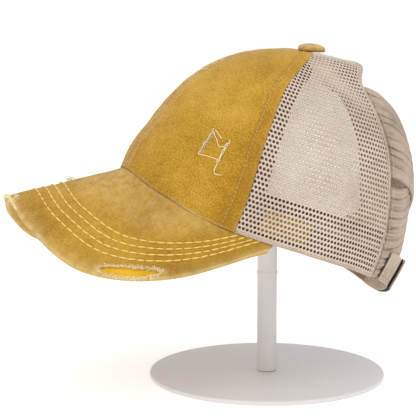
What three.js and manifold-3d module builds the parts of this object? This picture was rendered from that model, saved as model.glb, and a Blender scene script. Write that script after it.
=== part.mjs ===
// Ponytail baseball cap on a plain stand.
// Millimetres, +Z up, front towards -Y, the wearer's left towards +X.
// The origin is the middle of the stand's underside.
import * as THREE from 'three';
import { mergeVertices } from 'three/addons/utils/BufferGeometryUtils.js';
import Module from 'manifold-3d';

// Crown
const crownHalfWidth = 77.5;
const crownFront = 97;
const crownBack = 89;
const crownHeight = 120;
const cottonThickness = 1.2;
const meshThickness = 1;
const seamGap = 0.3;
const layerGap = 0.4;
const bandGap = 0.6;
const buttonDiameter = 17;
const buttonHeight = 5;

// Tapes, sweatband and side label inside the crown
const tapeFrontWidth = 4;
const tapeBackWidth = 8;
const tapeThickness = 1;
const sweatbandThickness = 1.5;
const sweatbandHeight = 28;
const labelWidth = 25;
const labelHeight = 15;
const labelFromSeam = 10;
const labelAboveRim = 5;

// Gathered bands and closure strap at the back
const bandThickness = 1.2;
const pleatPitch = 6.5;
const pleatDepth = 1.1;
const strapHeight = 18;
const strapThickness = 1;
const hookPadThickness = 1;
const strapAboveRim = 1;
const strapFromMesh = 6;

// Peak
const brimLength = 64.5;
const brimHalfWidth = 83;
const brimDrop = 42;
const brimBendRadius = 140;
const coverThickness = 1;
const boardThickness = 1.4;
const lipWidth = 2;
const slitLength = 33;
const slitWidth = 6;

// Stand
const domeRadius = 58;
const domeHeight = 78;
const domeSkirt = 20;
const domeWall = 2;
const poleDiameter = 12.5;
const poleLength = 201;
const collarDiameter = 13.4;
const collarLength = 3;
const collarAbove = 62;
const flangeDiameter = 26;
const flangeThickness = 3;
const baseDiameter = 150;
const baseThickness = 3;
const seatGap = 0.3;
const capPitch = 17;
const capForward = 6.4;

// Crown sections from the rim up: the height and the reach to the front, side and back
// as shares of the crown's sizes, the extra height behind the button as a share of the
// crown's height, and the angles from the front, in degrees, of the seam between cotton
// and mesh and of the mesh's back edge.
const crownSections = [
  { rise: 0.00, front: 1.000, side: 1.000, back: 0.985, hump: 0.000, seam: 64.3, meshEnd: 129.0 },
  { rise: 0.16, front: 0.965, side: 1.050, back: 1.035, hump: 0.000, seam: 64.0, meshEnd: 126.0 },
  { rise: 0.32, front: 0.895, side: 1.045, back: 1.020, hump: 0.000, seam: 62.5, meshEnd: 124.5 },
  { rise: 0.48, front: 0.825, side: 1.005, back: 0.980, hump: 0.000, seam: 61.3, meshEnd: 122.5 },
  { rise: 0.63, front: 0.724, side: 0.925, back: 0.900, hump: 0.000, seam: 60.2, meshEnd: 121.0 },
  { rise: 0.77, front: 0.587, side: 0.790, back: 0.770, hump: 0.000, seam: 59.3, meshEnd: 117.5 },
  { rise: 0.88, front: 0.413, side: 0.605, back: 0.610, hump: 0.010, seam: 61.0, meshEnd: 114.5 },
  { rise: 0.96, front: 0.208, side: 0.380, back: 0.430, hump: 0.045, seam: 62.5, meshEnd: 114.5 },
  { rise: 1.00, front: 0.000, side: 0.000, back: 0.000, hump: 0.000, seam: 62.5, meshEnd: 114.5 },
];

// Rows at which the mesh's back edge leaves its line and at which it meets the middle of
// the back: between them it follows the arch of the upper opening.
const archFoot = 6;
const archTop = 7.35;

// Lift of the rim every 30 degrees from the front to the back, as shares of the crown's height
const rimLifts = [0.157, 0.098, 0.022, 0.002, -0.021, -0.073, -0.132];

// Edge of the peak from its middle to its corner: how far it drops, as shares of the peak's drop
const brimEdgeDrops = [0.386, 0.69, 1, 0.768];
const brimRoundPower = 2.13;
const brimCornerAngle = 80.5;
const brimEndShare = 0.98;

// Rows of the two gathered bands: lower and upper edge where a band starts and where it
// ends, and how far the lower edge arches up between them.
const bandStart = { low: 3.15, high: 6.05 };
const bandFinish = { low: 0.03, high: 2.85 };
const bandArchRows = 0.42;

// Rows at which every crown wall has its points
const rowList = [
  0, 0.5, 1, 1.5, 2, 2.5, 3, 3.5, 4, 4.5, 5, 5.5, 6, 6.3, 6.6, 6.85, 7.05, 7.2, 7.3, 7.35, 7.6, 7.88,
];
const topRow = rowList[rowList.length - 1];
const lastRow = crownSections.length - 1;

const rad = THREE.MathUtils.degToRad;
const deg = THREE.MathUtils.radToDeg;
const { lerp, smoothstep } = THREE.MathUtils;

const wasm = await Module();
wasm.setup();

// Smooth curve through evenly spaced values
function through(values, place) {
  const t = THREE.MathUtils.clamp(place, 0, values.length - 1);
  const i = Math.min(Math.floor(t), values.length - 2);
  const f = t - i;
  const b = values[i];
  const c = values[i + 1];
  const a = i > 0 ? values[i - 1] : 2 * b - c;
  const d = i < values.length - 2 ? values[i + 2] : 2 * c - b;
  return 0.5 * (2 * b + (c - a) * f + (2 * a - 5 * b + 4 * c - d) * f * f
    + (3 * b - a - 3 * c + d) * f * f * f);
}

// The same for values that go on mirrored past both ends
function throughMirrored(values, place) {
  const before = values[1];
  const after = values[values.length - 2];
  return through([before, ...values, after], place + 1);
}

const section = (column, row) => through(crownSections.map((line) => line[column]), row);

// Outer skin of the crown at an angle from the front and a row of the table
function crownSkin(angle, row) {
  const turn = rad(angle);
  const forward = Math.cos(turn);
  const reach = forward > 0 ? section('front', row) * crownFront : section('back', row) * crownBack;
  const around = Math.abs(((angle + 540) % 360) - 180);
  const rim = throughMirrored(rimLifts, around / 30);
  const rise = section('rise', row);
  const hump = section('hump', row) * (1 - forward) / 2;
  return new THREE.Vector3(
    section('side', row) * crownHalfWidth * Math.sin(turn),
    -reach * forward,
    crownHeight * (rim * (1 - rise) + rise + hump),
  );
}

// Point at a depth below a skin, measured along its outward normal
function below(skin, u, w, depth, stepU, stepW) {
  const along = skin(u + stepU, w).sub(skin(u - stepU, w));
  const across = skin(u, w + stepW).sub(skin(u, w - stepW));
  const outward = along.cross(across).normalize();
  return skin(u, w).addScaledVector(outward, -depth);
}

const crownPoint = (angle, row, depth) => below(crownSkin, angle, row, depth, 0.5, 0.02);

// Angle that a short length takes at a row, and rows that a height above the rim takes
const turnOf = (length, row) => deg(length / (section('side', row) * crownHalfWidth));
const rowsOf = (height) => height / (crownHeight * crownSections[1].rise);

const steps = (count, from = 0, to = 1) => (
  Array.from({ length: count + 1 }, (_, i) => lerp(from, to, i / count))
);

// Closed wall between an outer and an inner face that share their rows and columns
function wallBetween(us, ws, outer, inner) {
  const points = [outer, inner].flatMap((face) => (
    us.flatMap((u) => ws.flatMap((w) => face(u, w).toArray()))
  ));
  const at = (side, i, j) => side * us.length * ws.length + i * ws.length + j;
  const index = [];
  const quad = (a, b, c, d) => index.push(a, b, c, a, c, d);
  const lastI = us.length - 1;
  const lastJ = ws.length - 1;
  for (let i = 0; i < lastI; i += 1) {
    for (let j = 0; j < lastJ; j += 1) {
      quad(at(0, i, j), at(0, i + 1, j), at(0, i + 1, j + 1), at(0, i, j + 1));
      quad(at(1, i, j), at(1, i, j + 1), at(1, i + 1, j + 1), at(1, i + 1, j));
    }
    quad(at(0, i + 1, 0), at(0, i, 0), at(1, i, 0), at(1, i + 1, 0));
    quad(at(0, i, lastJ), at(0, i + 1, lastJ), at(1, i + 1, lastJ), at(1, i, lastJ));
  }
  for (let j = 0; j < lastJ; j += 1) {
    quad(at(0, 0, j), at(0, 0, j + 1), at(1, 0, j + 1), at(1, 0, j));
    quad(at(0, lastI, j + 1), at(0, lastI, j), at(1, lastI, j), at(1, lastI, j + 1));
  }
  return facingOut(points, index);
}

// Geometry whose faces point outwards, whichever way its outline ran
function facingOut(points, index) {
  const corner = (k) => new THREE.Vector3().fromArray(points, 3 * index[k]);
  let volume = 0;
  for (let k = 0; k < index.length; k += 3) {
    volume += corner(k).dot(corner(k + 1).cross(corner(k + 2)));
  }
  const geometry = new THREE.BufferGeometry();
  geometry.setAttribute('position', new THREE.Float32BufferAttribute(points, 3));
  geometry.setIndex(volume > 0 ? index : index.reverse());
  geometry.computeVertexNormals();
  return geometry;
}

// Wall that follows the crown from one depth to another
function crownWall(us, ws, angleAt, rowAt, outerDepth, thickness) {
  const outer = (u, w) => crownPoint(angleAt(u, w), rowAt(u, w), outerDepth(u, w));
  const inner = (u, w) => crownPoint(angleAt(u, w), rowAt(u, w), outerDepth(u, w) + thickness);
  return wallBetween(us, ws, outer, inner);
}

// Plain crown panel between two edges given as angles at each row
function crownPanel(columns, side, fromEdge, toEdge, thickness) {
  const angleAt = (u, row) => side * lerp(fromEdge(row), toEdge(row), u);
  return crownWall(steps(columns), rowList, angleAt, (u, row) => row, () => 0, thickness);
}

const halfGap = (row) => turnOf(seamGap / 2, row);
const cottonEnd = (row) => section('seam', row) - halfGap(row);
const meshStart = (row) => section('seam', row) + halfGap(row);

function meshEnd(row) {
  const share = THREE.MathUtils.clamp((row - archFoot) / (archTop - archFoot), 0, 1);
  const middle = 180 - halfGap(row);
  return lerp(middle, section('meshEnd', row), Math.sqrt(1 - share * share));
}

const frontPanel = (side) => crownPanel(7, side, halfGap, cottonEnd, cottonThickness);
const meshPanel = (side) => crownPanel(8, side, meshStart, meshEnd, meshThickness);

// Tape over the inside of the seam between cotton and mesh
const tapeDepth = cottonThickness + layerGap;
const tapeRows = rowList.slice(0, -2);

function tapeAngle(side, u, row) {
  const from = -turnOf(tapeFrontWidth, row);
  const to = turnOf(tapeBackWidth, row);
  return side * (section('seam', row) + lerp(from, to, u));
}

function seamTape(side) {
  const angleAt = (u, row) => tapeAngle(side, u, row);
  return crownWall(steps(2), tapeRows, angleAt, (u, row) => row, () => tapeDepth, tapeThickness);
}

// Sweatband inside the rim, from one back corner of the mesh round the front to the other
function sweatband() {
  const depth = tapeDepth + tapeThickness + layerGap;
  const end = meshEnd(0);
  const rows = steps(3, 0, rowsOf(sweatbandHeight));
  const angleAt = (u) => lerp(-end, end, u);
  return crownWall(steps(30), rows, angleAt, (u, row) => row, () => depth, sweatbandThickness);
}

// Blank cloth label between the mesh and the sweatband
function sideLabel() {
  const from = section('seam', 0) + turnOf(labelFromSeam, 0);
  const angleAt = (u) => from + u * turnOf(labelWidth, 0);
  const rows = steps(2, rowsOf(labelAboveRim), rowsOf(labelAboveRim + labelHeight));
  return crownWall(steps(3), rows, angleAt, (u, row) => row, () => tapeDepth, tapeThickness);
}

// Gathered band: it starts high on one mesh edge, crosses the middle of the back and
// ends low on the other mesh edge. One band passes outside the other where they cross.
const crossingStep = bandThickness / 2 + layerGap;
const pleatCount = Math.round((bandStart.high - bandStart.low) / rowsOf(pleatPitch));
const pleatSides = 4;
const crossingFlatShare = 0.7;

function crossing(u) {
  return smoothstep(u, 0.01, 0.12) * smoothstep(1 - u, 0.01, 0.12);
}

function pleat(u, w) {
  const depth = pleatDepth / 2 * (1 - crossingFlatShare * crossing(u));
  return depth * Math.sin(2 * Math.PI * pleatCount * w);
}

function bandRow(u, w) {
  const way = smoothstep(u, 0, 1);
  const arch = bandArchRows * Math.sin(Math.PI * u) ** 2;
  const low = lerp(bandStart.low, bandFinish.low, way) + arch;
  const high = lerp(bandStart.high, bandFinish.high, way);
  return lerp(low, high, w);
}

function band(side, outwards) {
  const angleAt = (u, w) => {
    const row = bandRow(u, w);
    const edge = meshEnd(row) + turnOf(bandGap, row);
    return side * lerp(edge, 360 - edge, u);
  };
  const depth = (u, w) => -outwards * crossingStep * crossing(u) - pleat(u, w);
  const ws = steps(pleatCount * pleatSides);
  return crownWall(steps(14), ws, angleAt, bandRow, depth, bandThickness);
}

// Closure strap: two tabs on the outside of the bands and the hook pad between them.
// The inner tab ends where the outer band comes down to the strap.
const strapRows = [rowsOf(strapAboveRim), rowsOf(strapAboveRim + strapHeight)];
const overBand = pleatDepth / 2 + layerGap;
const overInnerBand = overBand - crossingStep + layerGap / 2;
const padBase = overInnerBand + strapThickness + seamGap;
const coverBase = padBase + hookPadThickness + seamGap;
const strapRoot = () => meshEnd(0) + turnOf(strapFromMesh, 0);
const tabEndAngle = 190;
const coverEndAngle = 152;

function strapPiece(from, to, heightAt, thickness) {
  const angleAt = (u) => lerp(from, to, u);
  const depth = (u) => -heightAt(u) - thickness;
  return crownWall(steps(12), steps(1, ...strapRows), angleAt, (u, row) => row, depth, thickness);
}

const innerTab = () => strapPiece(
  strapRoot(),
  tabEndAngle,
  (u) => lerp(overBand, overInnerBand, smoothstep(u, 0.1, 0.4)),
  strapThickness,
);
const hookPad = () => strapPiece(coverEndAngle, tabEndAngle, () => padBase, hookPadThickness);
const outerTab = () => strapPiece(
  coverEndAngle,
  360 - strapRoot(),
  (u) => lerp(coverBase, overBand + layerGap, smoothstep(u, 0.75, 1)),
  strapThickness,
);

// Peak: a curved sheet between the rim and an edge that is widest beside the front panels
const brimSeat = -0.35;

function brimEdge(share) {
  const way = Math.abs(share);
  const corner = crownSkin(brimCornerAngle, 0);
  const power = 2 / brimRoundPower;
  const sideways = brimHalfWidth * Math.sin(way * Math.PI / 2) ** power
    + (corner.x - brimHalfWidth) * way ** 6;
  const tip = -crownFront - brimLength;
  const lengthwise = corner.y + (tip - corner.y) * Math.cos(way * Math.PI / 2) ** power;
  const drops = [...brimEdgeDrops.map((drop) => -drop * brimDrop), corner.z];
  const height = through([drops[1], ...drops], way * (drops.length - 1) + 1);
  return new THREE.Vector3(Math.sign(share) * sideways, lengthwise, height);
}

function brimSkin(share, out) {
  const inner = crownPoint(share * brimCornerAngle, 0, cottonThickness);
  inner.z += brimSeat;
  const edge = brimEdge(share);
  const bow = out * (1 - out) * (edge.x - inner.x) ** 2 / (2 * brimBendRadius);
  const point = inner.lerp(edge, out);
  point.z += bow;
  return point;
}

const brimAcross = (out, share) => brimSkin(share, out);
const brimPoint = (share, out, depth) => below(brimAcross, out, share, depth, 0.01, 0.004);
const brimShares = steps(22, -brimEndShare, brimEndShare);

// Share of the way out that leaves a margin of some millimetres before the edge
function insideEdge(share, margin) {
  const width = brimSkin(share, 0).distanceTo(brimSkin(share, 1));
  return 1 - Math.min(margin / width, 0.5);
}

const boardDepth = coverThickness + seamGap;
const underDepth = boardDepth + boardThickness + seamGap;
const brimThickness = underDepth + coverThickness;

// Cover of the peak whose lip turns over the board's edge down to the middle
function brimCover(outerDepth, innerDepth, lipDepth) {
  const stops = [0, 0.23, 0.46, 0.69, 'lip', 'fold', 'edge'];
  const place = (share, stop) => {
    const lip = insideEdge(share, lipWidth);
    return { lip, fold: lip + (1 - lip) * 0.1, edge: 1 }[stop] ?? stop * lip;
  };
  const outer = (share, stop) => brimPoint(share, place(share, stop), outerDepth);
  const inner = (share, stop) => {
    const turned = stop === 'fold' || stop === 'edge';
    return brimPoint(share, place(share, stop), turned ? lipDepth : innerDepth);
  };
  return wallBetween(brimShares, stops, outer, inner);
}

function brimBoard() {
  const outs = [0.02, 0.27, 0.52, 0.77, 1];
  const place = (share, out) => out * (insideEdge(share, lipWidth + seamGap));
  const outer = (share, out) => brimPoint(share, place(share, out), boardDepth);
  const inner = (share, out) => brimPoint(share, place(share, out), boardDepth + boardThickness);
  return wallBetween(brimShares, outs, outer, inner);
}

// Worn slit through the upper cloth of the peak, near its left edge
const slitShare = 0.61;
const slitFromEdge = 5.5;

function slitCutter() {
  const span = slitLength / (brimSkin(slitShare, 1).distanceTo(brimSkin(slitShare + 0.01, 1)) * 100);
  const middle = insideEdge(slitShare, slitFromEdge);
  const width = slitWidth / brimSkin(slitShare, 0).distanceTo(brimSkin(slitShare, 1));
  const along = (u) => slitShare + (u - 0.5) * span;
  const half = (u) => width / 2 * Math.max(Math.sin(Math.PI * u), 0.12);
  const face = (depth) => (u, w) => brimPoint(along(u), middle + w * half(u), depth);
  return wallBetween(steps(8), [-1, 1], face(-coverThickness), face(coverThickness + seamGap / 2));
}

// Geometry with its positions only, each point once
function mergeOnly(geometry) {
  geometry.deleteAttribute('normal');
  geometry.deleteAttribute('uv');
  return mergeVertices(geometry);
}

function toSolid(geometry) {
  const merged = mergeOnly(geometry.clone());
  return new wasm.Manifold(new wasm.Mesh({
    numProp: 3,
    vertProperties: Float32Array.from(merged.attributes.position.array),
    triVerts: Uint32Array.from(merged.index.array),
  }));
}

function fromSolid(solid) {
  const mesh = solid.getMesh();
  const geometry = new THREE.BufferGeometry();
  geometry.setAttribute('position', new THREE.BufferAttribute(mesh.vertProperties, 3));
  geometry.setIndex(new THREE.BufferAttribute(mesh.triVerts, 1));
  geometry.computeVertexNormals();
  return geometry;
}

function brimTopCover() {
  const lipDepth = brimThickness / 2 - seamGap / 2;
  const whole = brimCover(0, coverThickness, lipDepth);
  return fromSolid(toSolid(whole).subtract(toSolid(slitCutter())));
}

const brimUnderCover = () => brimCover(brimThickness, underDepth, brimThickness / 2 + seamGap / 2);

// Turned piece from a profile of radius and height that starts and ends on its axis
function turned(profile, segments) {
  const points = profile.map(([radius, height]) => new THREE.Vector2(radius, height));
  const geometry = new THREE.LatheGeometry(points, segments);
  geometry.rotateX(Math.PI / 2);
  const bare = mergeOnly(geometry);
  return facingOut(Array.from(bare.attributes.position.array), Array.from(bare.index.array));
}

// Covered button: a flat underside and a rounded top
function crownButton() {
  const radius = buttonDiameter / 2;
  const side = buttonHeight * 0.45;
  const rounding = [0.98, 0.86, 0.62, 0.33].map((share) => (
    [radius * share, side + (buttonHeight - side) * Math.sqrt(1 - share * share)]
  ));
  const profile = [[0, 0], [radius * 0.94, 0], [radius, side * 0.5], ...rounding, [0, buttonHeight]];
  return turned(profile, 14);
}

// Half section of the dome: height above its equator at a radius
const domeTop = (radius, reach, height) => height * Math.sqrt(Math.max(0, 1 - (radius / reach) ** 2));
const domeMiddle = baseThickness + seatGap + poleLength + seatGap + domeWall - domeHeight;

function standDome() {
  const shares = [0, 0.22, 0.43, 0.62, 0.78, 0.9, 0.97, 1];
  const shell = (reach, height) => shares.map((share) => (
    [share * reach, domeTop(share * reach, reach, height)]
  ));
  const outer = shell(domeRadius, domeHeight);
  const inner = shell(domeRadius - domeWall, domeHeight - domeWall).reverse();
  const skirt = [[domeRadius, -domeSkirt], [domeRadius - domeWall, -domeSkirt]];
  return turned([...outer, ...skirt, ...inner], 24);
}

// Pole with a slight collar, and a flange that carries the dome from inside
function standPole() {
  const radius = poleDiameter / 2;
  const collar = collarDiameter / 2;
  const flange = flangeDiameter / 2;
  const insideHeight = domeHeight - domeWall;
  const fall = insideHeight - domeTop(flange, domeRadius - domeWall, insideHeight);
  const profile = [
    [0, 0],
    [radius, 0],
    [radius, collarAbove],
    [collar, collarAbove + collarLength / 2],
    [radius, collarAbove + collarLength],
    [radius, poleLength - fall - flangeThickness - flange / 2],
    [flange, poleLength - fall - flangeThickness],
    [flange, poleLength - fall],
    [0, poleLength],
  ];
  return turned(profile, 16);
}

function standBase() {
  const radius = baseDiameter / 2;
  const bevel = baseThickness / 3;
  return turned([[0, 0], [radius, 0], [radius, baseThickness - bevel], [radius - bevel, baseThickness],
    [0, baseThickness]], 32);
}

// Height at which the tilted cap comes to rest on the dome: the least room, over every
// point of its innermost walls, between the cloth and the dome below it.
const capTurn = new THREE.Matrix4().makeRotationX(-rad(capPitch));
const seatReach = domeRadius * 0.9;

function seatHeight() {
  let room = Infinity;
  const test = (point) => {
    point.applyMatrix4(capTurn);
    point.y -= capForward;
    const radius = Math.hypot(point.x, point.y);
    if (radius < seatReach) {
      room = Math.min(room, point.z - domeTop(radius, domeRadius, domeHeight));
    }
  };
  for (const row of steps(48, lastRow / 2, topRow)) {
    for (const angle of steps(72, 0, 360)) {
      test(crownPoint(angle, row, cottonThickness));
    }
    for (const u of steps(4)) {
      if (row <= tapeRows[tapeRows.length - 1]) {
        test(crownPoint(tapeAngle(1, u, row), row, tapeDepth + tapeThickness));
      }
    }
  }
  return domeMiddle + seatGap - room;
}

function piece(name, geometry, color, roughness) {
  const material = new THREE.MeshStandardMaterial({ color, roughness, metalness: 0 });
  const mesh = new THREE.Mesh(geometry, material);
  mesh.name = name;
  return mesh;
}

const colours = {
  cotton: 0xcb9f42,
  board: 0xe0af28,
  mesh: 0xdecdbe,
  elastic: 0xb6a18b,
  strap: 0xaa8773,
  hook: 0x1c1a19,
  sweatband: 0x5c4632,
  stand: 0xe9e6e4,
};

const cap = new THREE.Group();
for (const [word, side] of [['left', 1], ['right', -1]]) {
  cap.add(piece(`front_panel_${word}`, frontPanel(side), colours.cotton, 0.9));
  cap.add(piece(`mesh_panel_${word}`, meshPanel(side), colours.mesh, 0.8));
  cap.add(piece(`seam_tape_${word}`, seamTape(side), colours.sweatband, 0.9));
  cap.add(piece(`band_${word}`, band(side, side), colours.elastic, 0.85));
}
cap.add(piece('sweatband', sweatband(), colours.sweatband, 0.9));
cap.add(piece('side_label', sideLabel(), colours.cotton, 0.9));
cap.add(piece('brim_cover_top', brimTopCover(), colours.cotton, 0.9));
cap.add(piece('brim_board', brimBoard(), colours.board, 0.85));
cap.add(piece('brim_cover_under', brimUnderCover(), colours.cotton, 0.9));
cap.add(piece('strap_left', innerTab(), colours.strap, 0.9));
cap.add(piece('strap_hook_pad', hookPad(), colours.hook, 0.95));
cap.add(piece('strap_right', outerTab(), colours.strap, 0.9));

const button = piece('crown_button', crownButton(), colours.cotton, 0.9);
button.position.z = crownHeight + seatGap;
cap.add(button);

cap.rotation.x = -rad(capPitch);
cap.position.set(0, -capForward, seatHeight());

const stand = new THREE.Group();
const dome = piece('stand_dome', standDome(), colours.stand, 0.6);
dome.position.z = domeMiddle;
const pole = piece('stand_pole', standPole(), colours.stand, 0.5);
pole.position.z = baseThickness + seatGap;
stand.add(dome, pole, piece('stand_base', standBase(), colours.stand, 0.5));

const part = new THREE.Group();
part.add(stand, cap);

export default part;
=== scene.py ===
# %% [markdown]
# A ponytail baseball cap on a cap stand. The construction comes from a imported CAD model, the
# frame, and this script gives every piece its cloth: weave, seams, stitches, gathers and wear.
# Everything is in metres in the frame's own axes: +Z up, the peak towards -Y and the cap's left
# side towards +X. The box of the CAD model is kept, so that the end can show that the dressed
# cap still fits it.

import bpy
import numpy as np
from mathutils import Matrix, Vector


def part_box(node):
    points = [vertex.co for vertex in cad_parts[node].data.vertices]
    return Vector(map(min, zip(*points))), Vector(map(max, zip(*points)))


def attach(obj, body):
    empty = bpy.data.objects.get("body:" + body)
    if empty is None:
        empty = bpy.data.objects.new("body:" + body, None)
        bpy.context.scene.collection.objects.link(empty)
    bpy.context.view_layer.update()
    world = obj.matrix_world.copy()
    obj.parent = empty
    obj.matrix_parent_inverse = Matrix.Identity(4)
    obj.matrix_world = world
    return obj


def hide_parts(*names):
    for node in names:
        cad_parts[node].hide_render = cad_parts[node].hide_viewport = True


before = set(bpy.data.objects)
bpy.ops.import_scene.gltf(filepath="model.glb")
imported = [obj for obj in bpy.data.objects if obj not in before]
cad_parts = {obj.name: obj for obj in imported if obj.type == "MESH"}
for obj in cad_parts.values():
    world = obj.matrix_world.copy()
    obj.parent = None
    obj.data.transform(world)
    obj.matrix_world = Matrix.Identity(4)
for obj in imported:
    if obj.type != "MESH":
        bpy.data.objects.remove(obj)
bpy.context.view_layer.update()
MM = 0.001


def in_scene(name, data):
    """New object of the scene around a mesh, a light or a camera."""
    made = bpy.data.objects.new(name, data)
    bpy.context.collection.objects.link(made)
    return made


# %% [markdown]
# The camera stands on the cap's left side, a little to the front and a little above the rim, as
# the photograph was taken. A long lens keeps the side view calm: its distance follows from how
# many pixels of the picture a millimetre takes.

# %% Camera
CAMERA_AZIMUTH = np.radians(72.0)
CAMERA_ELEVATION = np.radians(8.6)
CAMERA_AIM = Vector((0.0, -39.6, 110.1)) * MM
LENS_MM = 135.0
SENSOR_MM = 36.0
PICTURE_PIXELS = 416
PIXELS_PER_MM = 1.6

back = Vector((
    np.sin(CAMERA_AZIMUTH) * np.cos(CAMERA_ELEVATION),
    -np.cos(CAMERA_AZIMUTH) * np.cos(CAMERA_ELEVATION),
    np.sin(CAMERA_ELEVATION),
))
distance = PICTURE_PIXELS * LENS_MM / (SENSOR_MM * PIXELS_PER_MM) * MM
lens = bpy.data.cameras.new("side_camera")
lens.lens = LENS_MM
lens.sensor_width = SENSOR_MM
lens.clip_start = 0.05
camera = in_scene("side_camera", lens)
camera.location = CAMERA_AIM + back * distance
camera.rotation_euler = back.to_track_quat("Z", "Y").to_euler()
bpy.context.scene.camera = camera
bpy.context.scene.view_settings.view_transform = "Standard"
print("camera", round(distance, 3), "m from the cap")

# %% [markdown]
# Shader trees and geometry trees are both made of nodes with sockets, so one small function
# serves them all: it adds a node, sets its options, and fills each input with a value or with
# another node's output. Colours are written as they look on a screen, in hex, and shaders want
# linear light, so one function turns them over.

# %% Helpers for nodes and colours
MATH, VECTOR_MATH, STORED = "ShaderNodeMath", "ShaderNodeVectorMath", "GeometryNodeInputNamedAttribute"
VECTORS, TIMES, SCALED = {"data_type": "FLOAT_VECTOR"}, {"operation": "MULTIPLY"}, {"operation": "SCALE"}


def node(tree, kind, inputs=(), **settings):
    """A new node of a tree. Inputs are given in order, or by identifier, name or number.

    A node that is given as an input stands for its own first output.
    """
    made = tree.nodes.new(kind)
    for name, value in settings.items():
        setattr(made, name, value)
    for name, value in inputs.items() if isinstance(inputs, dict) else enumerate(inputs):
        by_identifier = [s for s in made.inputs if s.identifier == name]
        socket = by_identifier[0] if by_identifier else made.inputs[name]
        if isinstance(value, bpy.types.Node):
            value = value.outputs[0]
        if isinstance(value, bpy.types.NodeSocket):
            tree.links.new(value, socket)
        else:
            socket.default_value = value
    return made


def linear(hex_colour):
    """Linear red, green, blue and alpha of a colour as a screen shows it."""
    shares = [int(hex_colour[i:i + 2], 16) / 255 for i in (1, 3, 5)]
    return [s / 12.92 if s <= 0.04045 else ((s + 0.055) / 1.055) ** 2.4 for s in shares] + [1.0]


def blank_material(name):
    """New material whose tree is empty, and the tree."""
    material = bpy.data.materials.new(name)
    material.use_nodes = True
    material.node_tree.nodes.clear()
    return material, material.node_tree


print("mid grey is", [round(c, 3) for c in linear("#808080")])

# %% [markdown]
# A studio for something small: a pale floor that runs out of the picture on every side, a white
# surround, one large soft light high in front of the cap and a weaker one from behind. Cloth is
# matt, so there is nothing to reflect and the lights only have to be broad.

# %% Floor and light
FLOOR_RADIUS = 30.0
PAPER_GLOW = 0.35
SURROUND_STRENGTH = 0.72

floor_mesh = bpy.data.meshes.new("floor")
turns = np.linspace(0, 2 * np.pi, 96, endpoint=False)
ring = np.stack([np.cos(turns), np.sin(turns), 0 * turns], 1) * FLOOR_RADIUS
floor_mesh.from_pydata(ring.tolist(), [], [list(range(len(ring)))])
in_scene("floor", floor_mesh)

paper, paper_tree = blank_material("white_studio_paper")
paper_shader = node(paper_tree, "ShaderNodeBsdfPrincipled", {
    "Base Color": linear("#F6F5F3"),
    "Roughness": 0.9,
    "Emission Color": linear("#FFFFFF"),
    "Emission Strength": PAPER_GLOW,
})
node(paper_tree, "ShaderNodeOutputMaterial", {"Surface": paper_shader})
floor_mesh.materials.append(paper)

world = bpy.data.worlds.new("white_surround")
world.use_nodes = True
world.node_tree.nodes["Background"].inputs["Color"].default_value = linear("#FFFFFF")
world.node_tree.nodes["Background"].inputs["Strength"].default_value = SURROUND_STRENGTH
bpy.context.scene.world = world


def soft_light(name, place, aim, width, watts, colour):
    """A square area light at a place, turned to what it lights."""
    light = bpy.data.lights.new(name, "AREA")
    light.size = width
    light.energy = watts
    light.color = linear(colour)[:3]
    lamp = in_scene(name, light)
    lamp.location = place
    lamp.rotation_euler = (Vector(place) - Vector(aim)).to_track_quat("Z", "Y").to_euler()


CAP_MIDDLE = (0.0, -0.02, 0.14)
soft_light("key", (0.75, -0.75, 1.05), CAP_MIDDLE, 0.8, 6.0, "#FFFDFA")
soft_light("top", (0.1, 0.15, 1.3), CAP_MIDDLE, 0.9, 2.0, "#FFFFFF")
soft_light("fill", (0.9, 0.9, 0.5), CAP_MIDDLE, 0.8, 1.0, "#FCFDFF")
print("floor, surround and", len(bpy.data.lights), "lights")

# %% [markdown]
# The crown is one smooth skin. It has a table of sections from the rim (row 0) to the button
# (row 8), each a half ellipse to the front and one to the back, and a rim that rises and falls
# on its way round. These are the same sizes and shares as in the CAD model, so cloth that is laid
# on this skin lies where the CAD solids are. The columns seam and mesh_end give the angle of the
# seam between cotton and net, and of the net's back edge.

# %% Sizes and sections of the crown
CROWN_HALF_WIDTH = 77.5 * MM
CROWN_FRONT = 97 * MM
CROWN_BACK = 89 * MM
CROWN_HEIGHT = 120 * MM
CAP_PITCH = np.radians(17)
CAP_FORWARD = 6.4 * MM
COTTON = 1.2 * MM
SEAM_GAP = 0.3 * MM
LAYER_GAP = 0.4 * MM
ARCH_FOOT, ARCH_TOP = 6.0, 7.35
TOP_ROW = 7.88

COLUMNS = ("rise", "front", "side", "back", "hump", "seam", "mesh_end")
SECTIONS = dict(zip(COLUMNS, np.array([
    (0.00, 1.000, 1.000, 0.985, 0.000, 64.3, 129.0),
    (0.16, 0.965, 1.050, 1.035, 0.000, 64.0, 126.0),
    (0.32, 0.895, 1.045, 1.020, 0.000, 62.5, 124.5),
    (0.48, 0.825, 1.005, 0.980, 0.000, 61.3, 122.5),
    (0.63, 0.724, 0.925, 0.900, 0.000, 60.2, 121.0),
    (0.77, 0.587, 0.790, 0.770, 0.000, 59.3, 117.5),
    (0.88, 0.413, 0.605, 0.610, 0.010, 61.0, 114.5),
    (0.96, 0.208, 0.380, 0.430, 0.045, 62.5, 114.5),
    (1.00, 0.000, 0.000, 0.000, 0.000, 62.5, 114.5),
]).T))
RIM_LIFTS = [0.157, 0.098, 0.022, 0.002, -0.021, -0.073, -0.132]


def through(values, place):
    """Smooth curve through evenly spaced values."""
    values = np.asarray(values, float)
    t = np.clip(place, 0, len(values) - 1)
    i = np.minimum(t.astype(int), len(values) - 2)
    f = t - i
    b, c = values[i], values[i + 1]
    a = np.where(i > 0, values[np.maximum(i - 1, 0)], 2 * b - c)
    d = np.where(i < len(values) - 2, values[np.minimum(i + 2, len(values) - 1)], 2 * c - b)
    return 0.5 * (2 * b + (c - a) * f + (2 * a - 5 * b + 4 * c - d) * f**2
                  + (3 * b - a - 3 * c + d) * f**3)


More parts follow.
